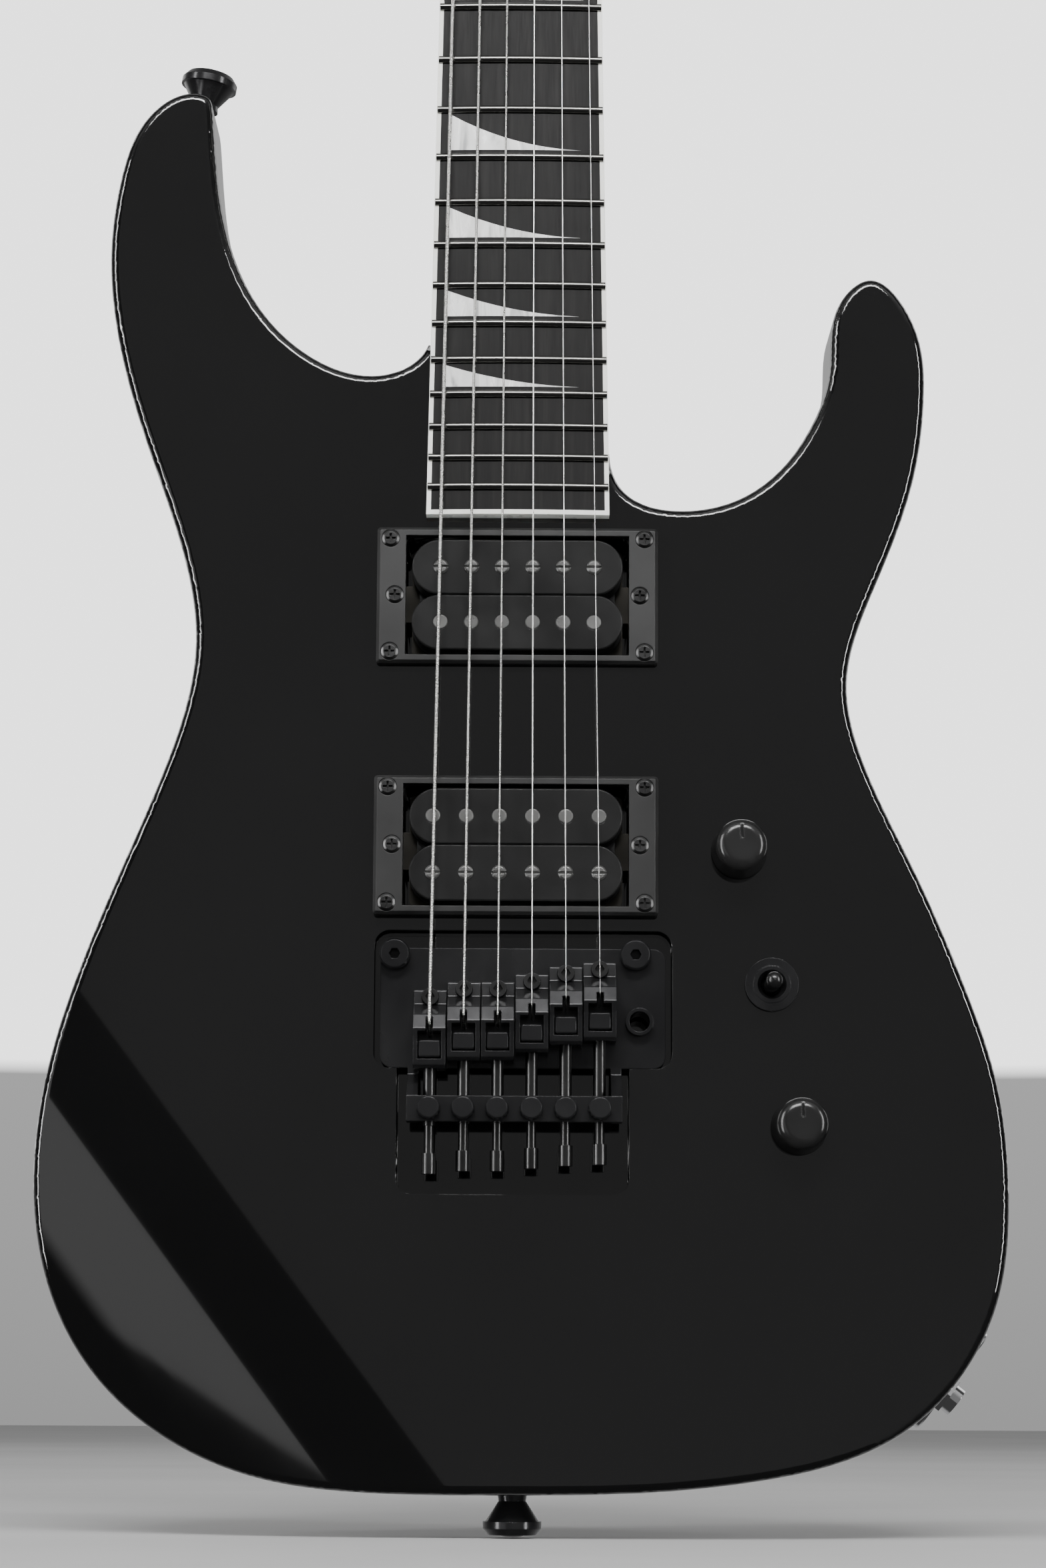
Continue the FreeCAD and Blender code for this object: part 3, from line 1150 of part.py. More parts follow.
def make_covers():
    wide, long, middle = TREM_COVER
    back = f"({BACK})"
    window = slab(60, 18, 6, (0, ahead(-3), f"{back} - 2"), 3)
    spots = [(x, ahead(y)) for x, y in TREM_SCREWS]
    panel = slab(wide, long, "cover_thick", (0, ahead(middle), back), 5)
    node("trem_cover", cut(panel, window, *[countersink((*spot, back), FLIPPED) for spot in spots]))
    control_spots = [(x, ahead(y)) for x, y in control_screw_places()]
    lid = profile(rounded(spread_out(CONTROL_HOLE, size("cover_lip")), 9), "cover_thick",
                  (0, "bridge_line", back))
    node("control_cover", cut(lid, *[countersink((*spot, back), FLIPPED) for spot in control_spots]))
    screws = [wood_screw((*spot, back), FLIPPED,
                         "screw_long - screw_head_tall") for spot in spots + control_spots]
    jack_screws = jack_frame(*[wood_screw((0, y, "jack_plate_thick - jack_recess"),
                                          long="screw_long - 2.4")
                               for y in ("jack_plate_long / 2 - 4", "4 - jack_plate_long / 2")])
    node("cover_screws", *screws, jack_screws)


def soften(base, radius, test):
    """Round the edges of a piece that pass a test."""
    doc.recompute()
    softened = doc.addObject("Part::Fillet", "softened")
    softened.Base = base
    amount = size(radius)
    softened.Edges = [(n, amount, amount) for n, edge in enumerate(base.Shape.Edges, start=1) if test(edge)]
    return softened


def make_controls():
    under_wall = f"({TOP} - control_wall)"
    pots = []
    for name, (x, y) in zip(("volume_knob", "tone_knob"), CONTROLS):
        at = (x, ahead(y))
        can = fuse(rod("pot_radius", "pot_tall", (*at, f"{under_wall} - pot_tall")),
                   rod("pot_bushing", "control_wall + 3.2", (*at, under_wall)),
                   hexagon("pot_bushing + 1.9", 2, (*at, f"{TOP} + 0.6")),
                   rod("pot_bushing + 2.4", 0.6, (*at, TOP)),
                   *[box(2.4, 7, 0.8, (f"{x} + {n} * 5", f"{ahead(y)} - pot_radius - 2", f"{under_wall} - 4"))
                     for n in (-1, 0, 1)])
        pots.append(cut(can, rod("shaft_bore", 30, (*at, f"{under_wall} - 5"))))
        shaft = rod("shaft_radius", "control_wall + 16", (*at, f"{under_wall} - 4.8"))
        blank = cone("knob_radius", "knob_radius - 0.9", "knob_tall", (*at, f"{TOP} + knob_gap"))
        dome = soften(blank, "knob_dome",
                      lambda e: e.BoundBox.ZLength < 0.01 and e.BoundBox.ZMin > size("body_thick") / 2 + 5)
        hollow = group(rod("pot_bushing + 2.7", 3, (*at, f"{TOP} + knob_gap - 0.1")),
                       rod("shaft_radius", 20, (*at, f"{under_wall} - 4.8 + control_wall + 16 - 20")))
        line = box(0.9, "knob_radius", 0.8, (x, f"{ahead(y)} + knob_radius * 0.72",
                                             f"{TOP} + knob_gap + knob_tall - 0.5"))
        node(name, cut(dome, hollow, line), shaft)
    node("potentiometers", *pots)
    make_switch(under_wall)
    make_jack()


def make_switch(under_wall):
    at = ("switch_x", ahead("switch_ahead"))
    case = fuse(box(20, 14, 17, (*at, f"{under_wall} - 17")),
                rod("switch_bushing", "control_wall + 1.8", (*at, under_wall)),
                cut(rod("switch_nut", 1.7, (*at, TOP)), rod("switch_bushing - 1", 4, (*at, f"{TOP} - 1"))),
                *[box(1, 5, 5, (f"switch_x + {n} * 5", ahead("switch_ahead"),
                                f"{under_wall} - 22")) for n in (-1, 0, 1)])
    throat = group(cone(2.9, 4.6, 6, (*at, f"{TOP} - 4.1")), rod(2.9, 4, (*at, f"{TOP} - 8")))
    node("toggle_switch", cut(case, throat))
    ball_of_lever = doc.addObject("Part::Sphere", "ball")
    ball_of_lever.Radius = 2.6
    place(ball_of_lever, (*at, f"{TOP} - lever_low"))
    tip_low = f"{TOP} - lever_low + lever_tall - 6"
    tip = stack((*at, tip_low), ("lever_radius", "lever_tip", 5), ("lever_tip", "lever_tip", 1))
    cap = doc.addObject("Part::Sphere", "cap")
    cap.setExpression("Radius", formula("lever_tip * 1.01"))
    place(cap, (*at, f"{tip_low} + 6"))
    node("toggle_lever", fuse(ball_of_lever, rod("lever_radius", "lever_tall - 5",
                                                 (*at, f"{TOP} - lever_low")), tip, cap))


def make_jack():
    here = (0, "-jack_offset")
    seat = "jack_plate_thick - jack_recess"
    plate = cut(slab("jack_plate_wide", "jack_plate_long", "jack_plate_thick", (0, 0, "-jack_recess"), 5, 0.5),
                rod("jack_sleeve", 20, (*here, -10)),
                *[countersink((0, y, seat)) for y in ("jack_plate_long / 2 - 4", "4 - jack_plate_long / 2")])
    body = fuse(rod("jack_sleeve", f"jack_proud + jack_deep", (*here, "-jack_deep")),
                hexagon("jack_nut", 2.2, (*here, seat)), rod("jack_hole - 1.2", 3, (*here, "-jack_deep")),
                box(5, 1, 18, (0, "-jack_offset - 6", "-jack_deep - 17")),
                box(5, 1, 18, (0, "-jack_offset + 6", "-jack_deep - 17")))
    node("output_jack", jack_frame(plate, cut(body, rod("jack_bore", 60, (*here, -40)))))


def make_strap_buttons():
    pieces = []
    for at, turn in strap_frames():
        button = stack((0, 0, 0), ("strap_waist + 0.3", "strap_waist", 2),
                       ("strap_waist", "strap_radius - 0.8", 6.2),
                       ("strap_radius", "strap_radius", 2.2), ("strap_radius", "strap_radius - 1.6", 2))
        room = stack((0, 0, -1), ("strap_screw", "strap_screw", 10.4), ("strap_screw", 4, 3), (4, 4, 2))
        screw = stack((0, 0, "-strap_screw_long"), ("strap_screw", "strap_screw", "strap_screw_long + 9.4"),
                      ("strap_screw", 4, 3), (4, 3, 0.5))
        cross = [box(4.4, 0.9, 3, (0, 0, 11.4)), box(0.9, 4.4, 3, (0, 0, 11.4))]
        pieces.append(place(group(cut(button, room), cut(screw, *cross)), at, turn))
    node("strap_buttons", *pieces)


# ---------------------------------------------------------------- build and write

make_wood()
make_fretboard()
make_nut()
make_tuners()
make_head_fittings()
make_strings()
make_pickups()
make_tremolo()
make_covers()
make_controls()
make_strap_buttons()
doc.recompute()

for thing in doc.Objects:
    if {"Invalid", "Error"} & set(thing.State):
        raise RuntimeError(f"{thing.Name} in {[parent.Label for parent in thing.InList]} failed: {thing.State}")
for whole in nodes:
    if whole.Shape.isNull() or not whole.Shape.isValid():
        raise RuntimeError(f"{whole.Label} has no valid shape")
    if not whole.Shape.Solids:
        raise RuntimeError(f"{whole.Label} has no solid")

os.makedirs("parts", exist_ok=True)
for whole in nodes:
    whole.Shape.exportStep(os.path.join("parts", whole.Label + ".step"))
print(len(nodes), "nodes,", sum(len(whole.Shape.Solids) for whole in nodes), "solids")
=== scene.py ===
import json
import math

import bmesh
import bpy
from mathutils import Matrix, Vector


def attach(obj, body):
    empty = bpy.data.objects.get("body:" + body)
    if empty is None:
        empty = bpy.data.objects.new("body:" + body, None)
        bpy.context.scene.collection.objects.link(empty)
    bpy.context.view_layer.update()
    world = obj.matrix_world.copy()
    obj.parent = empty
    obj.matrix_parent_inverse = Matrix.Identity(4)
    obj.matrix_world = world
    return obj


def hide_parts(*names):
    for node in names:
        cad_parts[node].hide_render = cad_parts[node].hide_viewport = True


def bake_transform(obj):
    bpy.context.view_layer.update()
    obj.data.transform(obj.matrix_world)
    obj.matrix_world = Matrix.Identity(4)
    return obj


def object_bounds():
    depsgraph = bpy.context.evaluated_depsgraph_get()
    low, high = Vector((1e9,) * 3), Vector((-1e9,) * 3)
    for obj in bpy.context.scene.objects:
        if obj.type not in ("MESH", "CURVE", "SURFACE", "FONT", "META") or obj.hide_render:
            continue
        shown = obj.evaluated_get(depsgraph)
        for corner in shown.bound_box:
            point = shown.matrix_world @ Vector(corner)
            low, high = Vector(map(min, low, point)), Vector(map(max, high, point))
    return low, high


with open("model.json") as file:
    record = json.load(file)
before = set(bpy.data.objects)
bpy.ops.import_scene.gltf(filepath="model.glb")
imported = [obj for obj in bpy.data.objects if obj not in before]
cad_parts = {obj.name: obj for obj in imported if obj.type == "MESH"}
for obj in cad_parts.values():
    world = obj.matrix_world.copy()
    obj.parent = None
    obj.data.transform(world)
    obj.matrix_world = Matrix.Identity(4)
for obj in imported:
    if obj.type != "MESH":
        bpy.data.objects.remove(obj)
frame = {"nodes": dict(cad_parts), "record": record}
cad_low, cad_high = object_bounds()
nodes = frame["nodes"]
MM = 0.001


# ---------------------------------------------------------------- materials

class Shader:
    """A Principled material built from noise, ramps and bump, in the object's own coordinates."""

    def __init__(self, name):
        self.material = bpy.data.materials.new(name)
        self.material.use_nodes = True
        self.tree = self.material.node_tree
        self.bsdf = self.tree.nodes["Principled BSDF"]
        self.place = self.add("ShaderNodeTexCoord").outputs["Object"]

    def add(self, kind, **settings):
        node = self.tree.nodes.new(kind)
        for key, value in settings.items():
            setattr(node, key, value)
        return node

    def link(self, source, target):
        self.tree.links.new(source, target)

    def set(self, **values):
        for key, value in values.items():
            self.bsdf.inputs[key.replace("_", " ")].default_value = value
        return self

    def stretched(self, scale):
        mapping = self.add("ShaderNodeMapping")
        mapping.inputs["Scale"].default_value = scale
        self.link(self.place, mapping.inputs["Vector"])
        return mapping.outputs["Vector"]

    def noise(self, scale, detail=4.0, stretch=(1, 1, 1), distortion=0.0):
        texture = self.add("ShaderNodeTexNoise")
        texture.inputs["Scale"].default_value = scale
        texture.inputs["Detail"].default_value = detail
        texture.inputs["Distortion"].default_value = distortion
        self.link(self.stretched(stretch), texture.inputs["Vector"])
        return texture.outputs["Fac"]

    def ramp(self, fac, *stops):
        ramp = self.add("ShaderNodeValToRGB")
        points = ramp.color_ramp.elements
        while len(points) < len(stops):
            points.new(0.5)
        for point, (position, color) in zip(points, stops):
            point.position = position
            point.color = (*color, 1)
        self.link(fac, ramp.inputs["Fac"])
        return ramp.outputs["Color"]

    def range(self, fac, low, high):
        scaled = self.add("ShaderNodeMapRange")
        scaled.inputs["To Min"].default_value = low
        scaled.inputs["To Max"].default_value = high
        self.link(fac, scaled.inputs["Value"])
        return scaled.outputs["Result"]

    def color(self, source):
        self.link(source, self.bsdf.inputs["Base Color"])

    def roughness(self, fac, low, high):
        self.link(self.range(fac, low, high), self.bsdf.inputs["Roughness"])

    def relief(self, fac, distance, strength=1.0, edge=0.0):
        """Bump from a texture, over edges that look rounded by the radius given."""
        bump = self.add("ShaderNodeBump")
        bump.inputs["Strength"].default_value = strength
        bump.inputs["Distance"].default_value = distance
        self.link(fac, bump.inputs["Height"])
        if edge:
            bevel = self.add("ShaderNodeBevel", samples=4)
            bevel.inputs["Radius"].default_value = edge
            self.link(bevel.outputs["Normal"], bump.inputs["Normal"])
        self.link(bump.outputs["Normal"], self.bsdf.inputs["Normal"])


def lacquer():
    """Deep gloss black over wood, with a faint orange peel and hairline polish marks."""
    s = Shader("gloss_lacquer").set(Coat_Weight=1.0, Coat_Roughness=0.02, IOR=1.45)
    haze = s.noise(9, 3)
    s.color(s.ramp(haze, (0.3, (0.0012, 0.0012, 0.0013)), (0.7, (0.0022, 0.0022, 0.0023))))
    s.roughness(s.noise(60, 5), 0.04, 0.09)
    s.relief(s.noise(220, 2), 0.000004, 0.25, 0.0005)
    return s.material


def ebony():
    """Dark close-grained wood: long streaks along the neck and short open pores."""
    s = Shader("ebony").set(Specular_IOR_Level=0.22)
    streaks = s.noise(10, 8, (42, 42, 2.4), 0.6)
    s.color(s.ramp(streaks, (0.30, (0.0015, 0.0014, 0.0014)), (0.50, (0.0032, 0.003, 0.0028)),
                   (0.68, (0.007, 0.0066, 0.0062))))
    pores = s.noise(60, 3, (30, 30, 2.2))
    s.roughness(pores, 0.40, 0.62)
    s.relief(pores, 0.00006, 0.5, 0.0002)
    return s.material


def ivory():
    """Cream binding plastic, slightly clouded and worn to a soft gloss."""
    s = Shader("ivory_plastic").set(Subsurface_Weight=0.05, Coat_Weight=0.3, Coat_Roughness=0.1)
    cloud = s.noise(26, 5)
    s.color(s.ramp(cloud, (0.3, (0.86, 0.85, 0.80)), (0.7, (0.94, 0.93, 0.89))))
    s.roughness(s.noise(240, 3), 0.22, 0.36)
    s.relief(s.noise(500, 2), 0.00001, 0.3, 0.0002)
    return s.material


def pearl():
    """Pearloid: soft folded bands of white and silver grey."""
    s = Shader("pearl").set(Coat_Weight=0.8, Coat_Roughness=0.06, Metallic=0.15)
    folds = s.noise(22, 6, (5.5, 1, 1.1), 2.4)
    s.color(s.ramp(folds, (0.30, (0.40, 0.41, 0.41)), (0.46, (0.80, 0.80, 0.79)),
                   (0.62, (0.93, 0.93, 0.92)), (0.78, (0.55, 0.56, 0.56))))
    s.roughness(folds, 0.18, 0.34)
    s.relief(folds, 0.00001, 0.2)
    return s.material


def metal(name, dark, light, low, high, edge=0.0002, brushed=(1, 1, 1), metallic=1.0,
          bump=0.00001):
    """A metal whose tone and polish drift, with fine marks along a direction.

    dark and light are its colours, low and high its roughness, edge the radius its edges look
    rounded by, and bump the depth of its marks in metres.
    """
    s = Shader(name).set(Metallic=metallic)
    s.color(s.ramp(s.noise(30, 5), (0.3, dark), (0.7, light)))
    marks = s.noise(180, 6, brushed)
    s.roughness(marks, low, high)
    s.relief(marks, bump, 0.4, edge)
    return s.material


def black_plastic(name, dark, light, low, high, edge=0.0003, grain=900):
    """Moulded plastic with a fine grain; the values are those of metal()."""
    s = Shader(name).set(IOR=1.5)
    s.color(s.ramp(s.noise(40, 4), (0.35, dark), (0.65, light)))
    s.roughness(s.noise(120, 5), low, high)
    s.relief(s.noise(grain, 2), 0.00003, 0.35, edge)
    return s.material


def wound():
    """Round steel wrap on a core: fine ribs square to the string."""
    s = Shader("wound_string").set(Metallic=1.0)
    wave = s.add("ShaderNodeTexWave", wave_type="BANDS", bands_direction="Z")
    wave.inputs["Scale"].default_value = 620
    wave.inputs["Distortion"].default_value = 0.3
    s.link(s.place, wave.inputs["Vector"])
    # The ribs' colour is painted shade: darker in the grooves between the wraps, lighter on their
    # crowns.
    s.color(s.ramp(wave.outputs["Fac"], (0.1, (0.50, 0.49, 0.47)), (0.6, (0.94, 0.93, 0.90))))
    s.roughness(s.noise(300, 3), 0.2, 0.36)
    s.relief(wave.outputs["Fac"], 0.00012, 0.9)
    return s.material


# A look for each material slot of the record, and SPECIAL ones for nodes that need their own.
LOOKS = {
    "black_lacquer": lacquer(),
    "ebony": ebony(),
    "ivory_plastic": ivory(),
    "pearl": pearl(),
    "fret_metal": metal("fret_metal", (0.15, 0.148, 0.142), (0.22, 0.217, 0.208), 0.13, 0.22,
                        brushed=(1, 8, 8)),
    "steel": metal("plated_steel", (0.38, 0.38, 0.38), (0.58, 0.58, 0.57), 0.28, 0.48),
    "black_plastic": black_plastic("black_plastic", (0.010, 0.010, 0.0105), (0.018, 0.018, 0.018),
                                   0.30, 0.42),
    "black_hardware": metal("black_chrome", (0.014, 0.014, 0.015), (0.032, 0.032, 0.033),
                            0.14, 0.28, 0.0004, metallic=0.6),
    "dark_steel": metal("blackened_steel", (0.035, 0.035, 0.035), (0.08, 0.08, 0.08),
                        0.22, 0.4, 0.00015),
    "string_steel": metal("plain_string", (0.86, 0.85, 0.83), (0.96, 0.95, 0.93), 0.22, 0.34, 0.0),
    # Nickel silver darkened to near black: painted shade for the gap round the bobbins, where the
    # baseplate shows.
    "nickel_silver": metal("nickel_silver", (0.045, 0.043, 0.038), (0.075, 0.07, 0.062),
                           0.35, 0.55),
    "magnet": metal("magnet", (0.05, 0.05, 0.052), (0.10, 0.10, 0.10), 0.5, 0.7,
                    metallic=0.4, bump=0.00005),
    "pole_steel": metal("pole_steel", (0.19, 0.19, 0.187), (0.26, 0.26, 0.254),
                        0.22, 0.36, 0.0003, metallic=0.9),
    "chrome": metal("chrome", (0.60, 0.60, 0.61), (0.78, 0.78, 0.79), 0.04, 0.12),
}
RING_PLASTIC = black_plastic("ring_plastic", (0.005, 0.005, 0.005), (0.012, 0.012, 0.012),
                             0.36, 0.50, 0.0004)
BOBBIN_PLASTIC = black_plastic("bobbin_plastic", (0.006, 0.006, 0.006), (0.012, 0.012, 0.012),
                               0.16, 0.28)
KNOB_PLASTIC = black_plastic("knob_plastic", (0.006, 0.006, 0.006), (0.013, 0.013, 0.013),
                             0.14, 0.26, 0.0006, 500)
WOUND = wound()
SPECIAL = {"pickup_rings": RING_PLASTIC, "pickup_bobbins": BOBBIN_PLASTIC,
           "volume_knob": KNOB_PLASTIC, "tone_knob": KNOB_PLASTIC, "toggle_lever": KNOB_PLASTIC}

for part in frame["record"]["subparts"]:
    name = part["node"]
    mesh = nodes[name].data
    mesh.materials.clear()
    mesh.materials.append(SPECIAL.get(name, LOOKS[part["material_slot"]]))
    mesh.polygons.foreach_set("material_index", [0] * len(mesh.polygons))


# ---------------------------------------------------------------- mesh helpers

def finished(name, bm, body, slot, look, *replaced, sharp=30):
    """Turn a bmesh in the guitar's frame into a smooth-shaded piece that rides on a body."""
    mesh = bpy.data.meshes.new(name)
    bm.to_mesh(mesh)
    bm.free()
    mesh.shade_smooth()
    mesh.set_sharp_from_angle(angle=math.radians(sharp))
    mesh.materials.append(look)
    piece = bpy.data.objects.new(name, mesh)
    bpy.context.scene.collection.objects.link(piece)
    if body:
        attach(piece, body)
    if replaced:
        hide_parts(*replaced)
    return piece


def tube(bm, path, radius, sides):
    """A round bar with flat ends along points, its rings turned with the path."""
    rings = []
    up = Vector((0, 1, 0.1)).normalized()
    for n, point in enumerate(path):
        before = path[max(n - 1, 0)]
        after = path[min(n + 1, len(path) - 1)]
        along = (after - before).normalized()
        side = along.cross(up).normalized()
        up = side.cross(along).normalized()
        ring = []
        for step in range(sides):
            turn = 2 * math.pi * step / sides
            spoke = side * math.cos(turn) + up * math.sin(turn)
            ring.append(bm.verts.new(point + spoke * radius))
        rings.append(ring)
    for here, there in zip(rings, rings[1:]):
        for step in range(sides):
            onward = (step + 1) % sides
            bm.faces.new((here[step], here[onward], there[onward], there[step]))
    bm.faces.new(list(reversed(rings[0])))
    bm.faces.new(rings[-1])


# ---------------------------------------------------------------- the lacquered wood, in one skin

WELD = 0.000004           # corners this near are one, in metres
GLUE_WELD = 0.00001       # the same across the glue lines, once the glued faces are gone
GLUED_SPAN = (0.05, 0.3)  # heights where the core's sides are the glue lines
FLAT = 0.99999            # cosines to the face or the back: on it,
ROLLED = 0.93             # and on the rounding beside it


def wood_shell():
    """The neck and both wings share one coat of lacquer, so their glue lines don't show.

    Its flats keep exactly flat normals right up to the rounded edges, so that they mirror evenly.
    """
    bm = bmesh.new()
    for name in ("neck_core", "body_wing_bass", "body_wing_treble"):
        bm.from_mesh(nodes[name].data)
    bmesh.ops.remove_doubles(bm, verts=bm.verts, dist=WELD)
    start, end = GLUED_SPAN
    seam = max(abs(v.co.x) for v in nodes["neck_core"].data.vertices if start < v.co.z < end)
    glued = [f for f in bm.faces if all(abs(abs(v.co.x) - seam) < GLUE_WELD for v in f.verts)]
    bmesh.ops.delete(bm, geom=glued, context="FACES")
    bmesh.ops.remove_doubles(bm, verts=bm.verts, dist=GLUE_WELD)
    piece = finished("wood_shell", bm, "guitar", "black_lacquer", LOOKS["black_lacquer"],
                     "neck_core", "body_wing_bass", "body_wing_treble", sharp=24)
    weighted = piece.modifiers.new("even_shading", "WEIGHTED_NORMAL")
    weighted.keep_sharp = True
    weighted.mode = "FACE_AREA"
    shaded = piece.evaluated_get(bpy.context.evaluated_depsgraph_get()).data
    normals = [corner.vector.copy() for corner in shaded.corner_normals]
    piece.modifiers.remove(weighted)
    mesh = piece.data
    for facing in (Vector((0, -1, 0)), Vector((0, 1, 0))):
        level = {v for p in mesh.polygons if p.normal.dot(facing) > FLAT for v in p.vertices}
        for polygon in mesh.polygons:
            if polygon.normal.dot(facing) > ROLLED:
                for loop in polygon.loop_indices:
                    if mesh.loops[loop].vertex_index in level:
                        normals[loop] = facing
    mesh.normals_split_custom_set(normals)


wood_shell()

# ---------------------------------------------------------------- strings and springs

# All in mm. The low string is number 0.
SCALE = 647.7                                         # the strings' length, nut to bridge line
BRIDGE = 156.5                                        # the bridge line, above the end strap button
NUT_END = BRIDGE + SCALE + 15.5
HEAD_START = BRIDGE + SCALE + 16
HEAD_FACE = 17.5                                      # the headstock's face at its start
HEAD_ANGLE = math.radians(-12)
THICKNESS = (1.17, 0.91, 0.66, 0.43, 0.33, 0.25)      # string diameters
WITNESS = (-11.0, -8.5, -8.4, -5.9, -3.4, -2.1)       # saddle contacts, from the bridge line
SADDLE_RUN = ((-3.7, 23.7), (-0.35, 28.9), (0.3, 29.3))   # ahead of the contact, and out
SADDLE_SPREAD = 53.3                                  # between the outer strings
NUT_SPREAD = 35.6
NUT_TOP = 26.1
RETAINER = (12, 3.55)                                 # the bar, up the headstock and off its face
WOUND_STRINGS = 3                                     # the thick ones
FIRST_POST = 42                                       # up the headstock
POST_STEP = 24.5
POST_WAIST = 2.3                                      # radius that a string winds round
WIND_TOP = 7.6                                        # height of the first turn on a post
WIND_PITCH = 1.04                                     # turns apart, in string diameters
TURN_STEPS = 24

SPRING_PLACES = (-15, 0, 15)
SPRING_DEPTH = -9.5
SPRING_RADIUS = 3.25
SPRING_WIRE = 0.68                                    # radius
SPRING_TURNS = 31
COIL_START = 12.7                                     # ahead of the bridge line
COIL_LENGTH = 46.6
COIL_STEPS = 14
BLOCK_END = (0.6, 11)                                 # the straight end in the block
CLAW_END = (60.4, 67.5, 68.6)                         # the straight end in the claw


def bench(x, ahead, out):
    """A point given in mm across, up the neck and out of the face, in the guitar's frame."""
    return Vector((x, -out, ahead)) * MM


def on_head(x, along, out):
    """A point of the tilted headstock's face in the guitar's frame."""
    return bench(x, HEAD_START + along * math.cos(HEAD_ANGLE) - out * math.sin(HEAD_ANGLE),
                 HEAD_FACE + along * math.sin(HEAD_ANGLE) + out * math.cos(HEAD_ANGLE))


def string_path(number):
    """From the saddle's clamp over the nut and under the retainer bar, then round the post."""
    thick = THICKNESS[number]
    radius = thick / 2
    share = number / 5 - 0.5
    at_bridge = SADDLE_SPREAD * share
    at_nut = NUT_SPREAD * share
    contact = BRIDGE + WITNESS[number]
    path = [bench(at_bridge, contact + ahead, out) for ahead, out in SADDLE_RUN]
    nut_point = bench(at_nut, NUT_END, NUT_TOP + radius)
    path += [path[-1].lerp(nut_point, step / 12) for step in range(1, 12)]
    path += [nut_point.lerp(path[-1], 0.01), nut_point]
    bar_place, bar_height = RETAINER
    path.append(on_head(at_nut, bar_place, bar_height - radius))
    post_x = at_nut - POST_WAIST - radius
    post_y = FIRST_POST + POST_STEP * number
    path.append(on_head(at_nut, post_y - 3, WIND_TOP - 0.3))
    turns = 3 if number < WOUND_STRINGS else 4.5
    around = POST_WAIST + radius + 0.05
    steps = int(turns * TURN_STEPS)
    for step in range(steps + 1):
        turn = 2 * math.pi * turns * step / steps
        fall = WIND_TOP - turns * thick * WIND_PITCH * step / steps
        path.append(on_head(post_x + around * math.cos(turn), post_y + around * math.sin(turn),
                            fall))
    return path


def make_strings():
    """Each string as a round tube along its path, from the saddle over the nut and round its post.
    """
    made = []
    for number, thick in enumerate(THICKNESS):
        bm = bmesh.new()
        tube(bm, string_path(number), thick / 2 * MM, 12)
        look = WOUND if number < WOUND_STRINGS else LOOKS["string_steel"]
        piece = finished(f"string_{number + 1}", bm, None, "string_steel", look, sharp=60)
        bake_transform(piece)
        made.append(piece)
    for piece in made:
        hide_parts("strings")


def make_springs():
    """Wound extension springs with straight ends, one in the claw and one in the block."""
    for number, place in enumerate(SPRING_PLACES, 1):
        path = [bench(place, BRIDGE + ahead, SPRING_DEPTH) for ahead in BLOCK_END]
        steps = SPRING_TURNS * COIL_STEPS
        for step in range(steps + 1):
            turn = 2 * math.pi * step / COIL_STEPS
            path.append(bench(place + SPRING_RADIUS * math.sin(turn),
                              BRIDGE + COIL_START + COIL_LENGTH * step / steps,
                              SPRING_DEPTH - SPRING_RADIUS * math.cos(turn)))
        path += [bench(place, BRIDGE + ahead, SPRING_DEPTH) for ahead in CLAW_END]
        bm = bmesh.new()
        tube(bm, path, SPRING_WIRE * MM, 8)
        piece = finished(f"spring_{number}", bm, None, "steel", LOOKS["steel"], sharp=60)
        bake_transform(piece)
        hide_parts("trem_springs")


make_strings()
make_springs()


# ---------------------------------------------------------------- side markers

DOT_RADIUS = 1.1
DOT_DEPTH = 0.4
DOT_PROUD = 0.03
DOT_HEIGHT = 21.6         # out of the face, on the binding's edge
BODY_END = 152.8          # the fretboard's wide end, ahead of the bridge line
BOARD_LENGTH = 494.9
HALF_WIDTH = 29.4         # of the board at that end
TAPER = 7.9               # lost by the nut


def make_side_markers():
    """Small black dots let into the binding's bass edge, beside the inlaid spaces."""
    bm = bmesh.new()
    for space in (3, 5, 7, 9, 12, 15, 17, 19, 21, 24):
        middle = SCALE * (2 ** (-space / 12) + 2 ** (-(space - 1) / 12)) / 2
        half = HALF_WIDTH - TAPER * (middle - BODY_END) / BOARD_LENGTH
        spots = (-3.4, 3.4) if space in (12, 24) else (0,)
        for spot in spots:
            ring = []
            for step in range(20):
                turn = 2 * math.pi * step / 20
                ring.append(bm.verts.new(bench(
                    -half - DOT_PROUD, BRIDGE + middle + spot + DOT_RADIUS * math.cos(turn),
                    DOT_HEIGHT + DOT_RADIUS * math.sin(turn))))
            cap = bm.faces.new(ring)
            inner = bmesh.ops.extrude_face_region(bm, geom=[cap])["geom"]
            for vert in (v for v in inner if isinstance(v, bmesh.types.BMVert)):
                vert.co.x += DOT_DEPTH * MM
    bmesh.ops.recalc_face_normals(bm, faces=bm.faces)
    finished("side_markers", bm, "guitar", "black_plastic", LOOKS["black_plastic"])


make_side_markers()

# ---------------------------------------------------------------- camera, light and backdrop

TILT = math.radians(9.65)               # the camera looks upward by this much
LOOK_AT = Vector((2.15, -19, 222.5)) * MM
DISTANCE = 1178 * MM
ROLL = math.radians(0.32)
FILM_WIDTH = 36                         # mm, of the frame's long side
FOCAL_LENGTH = 85

camera = bpy.data.objects.new("camera", bpy.data.cameras.new("camera"))
bpy.context.scene.collection.objects.link(camera)
camera.data.sensor_width = FILM_WIDTH
camera.data.lens = FOCAL_LENGTH
forward = Vector((0, math.cos(TILT), math.sin(TILT)))
camera.location = LOOK_AT - forward * DISTANCE
camera.rotation_mode = "QUATERNION"
camera.rotation_quaternion = (forward.to_track_quat("-Z", "Y").to_matrix().to_4x4()
                              @ Matrix.Rotation(ROLL, 4, "Z")).to_quaternion()
camera.data.clip_start = 0.05
camera.data.clip_end = 60
bpy.context.scene.camera = camera


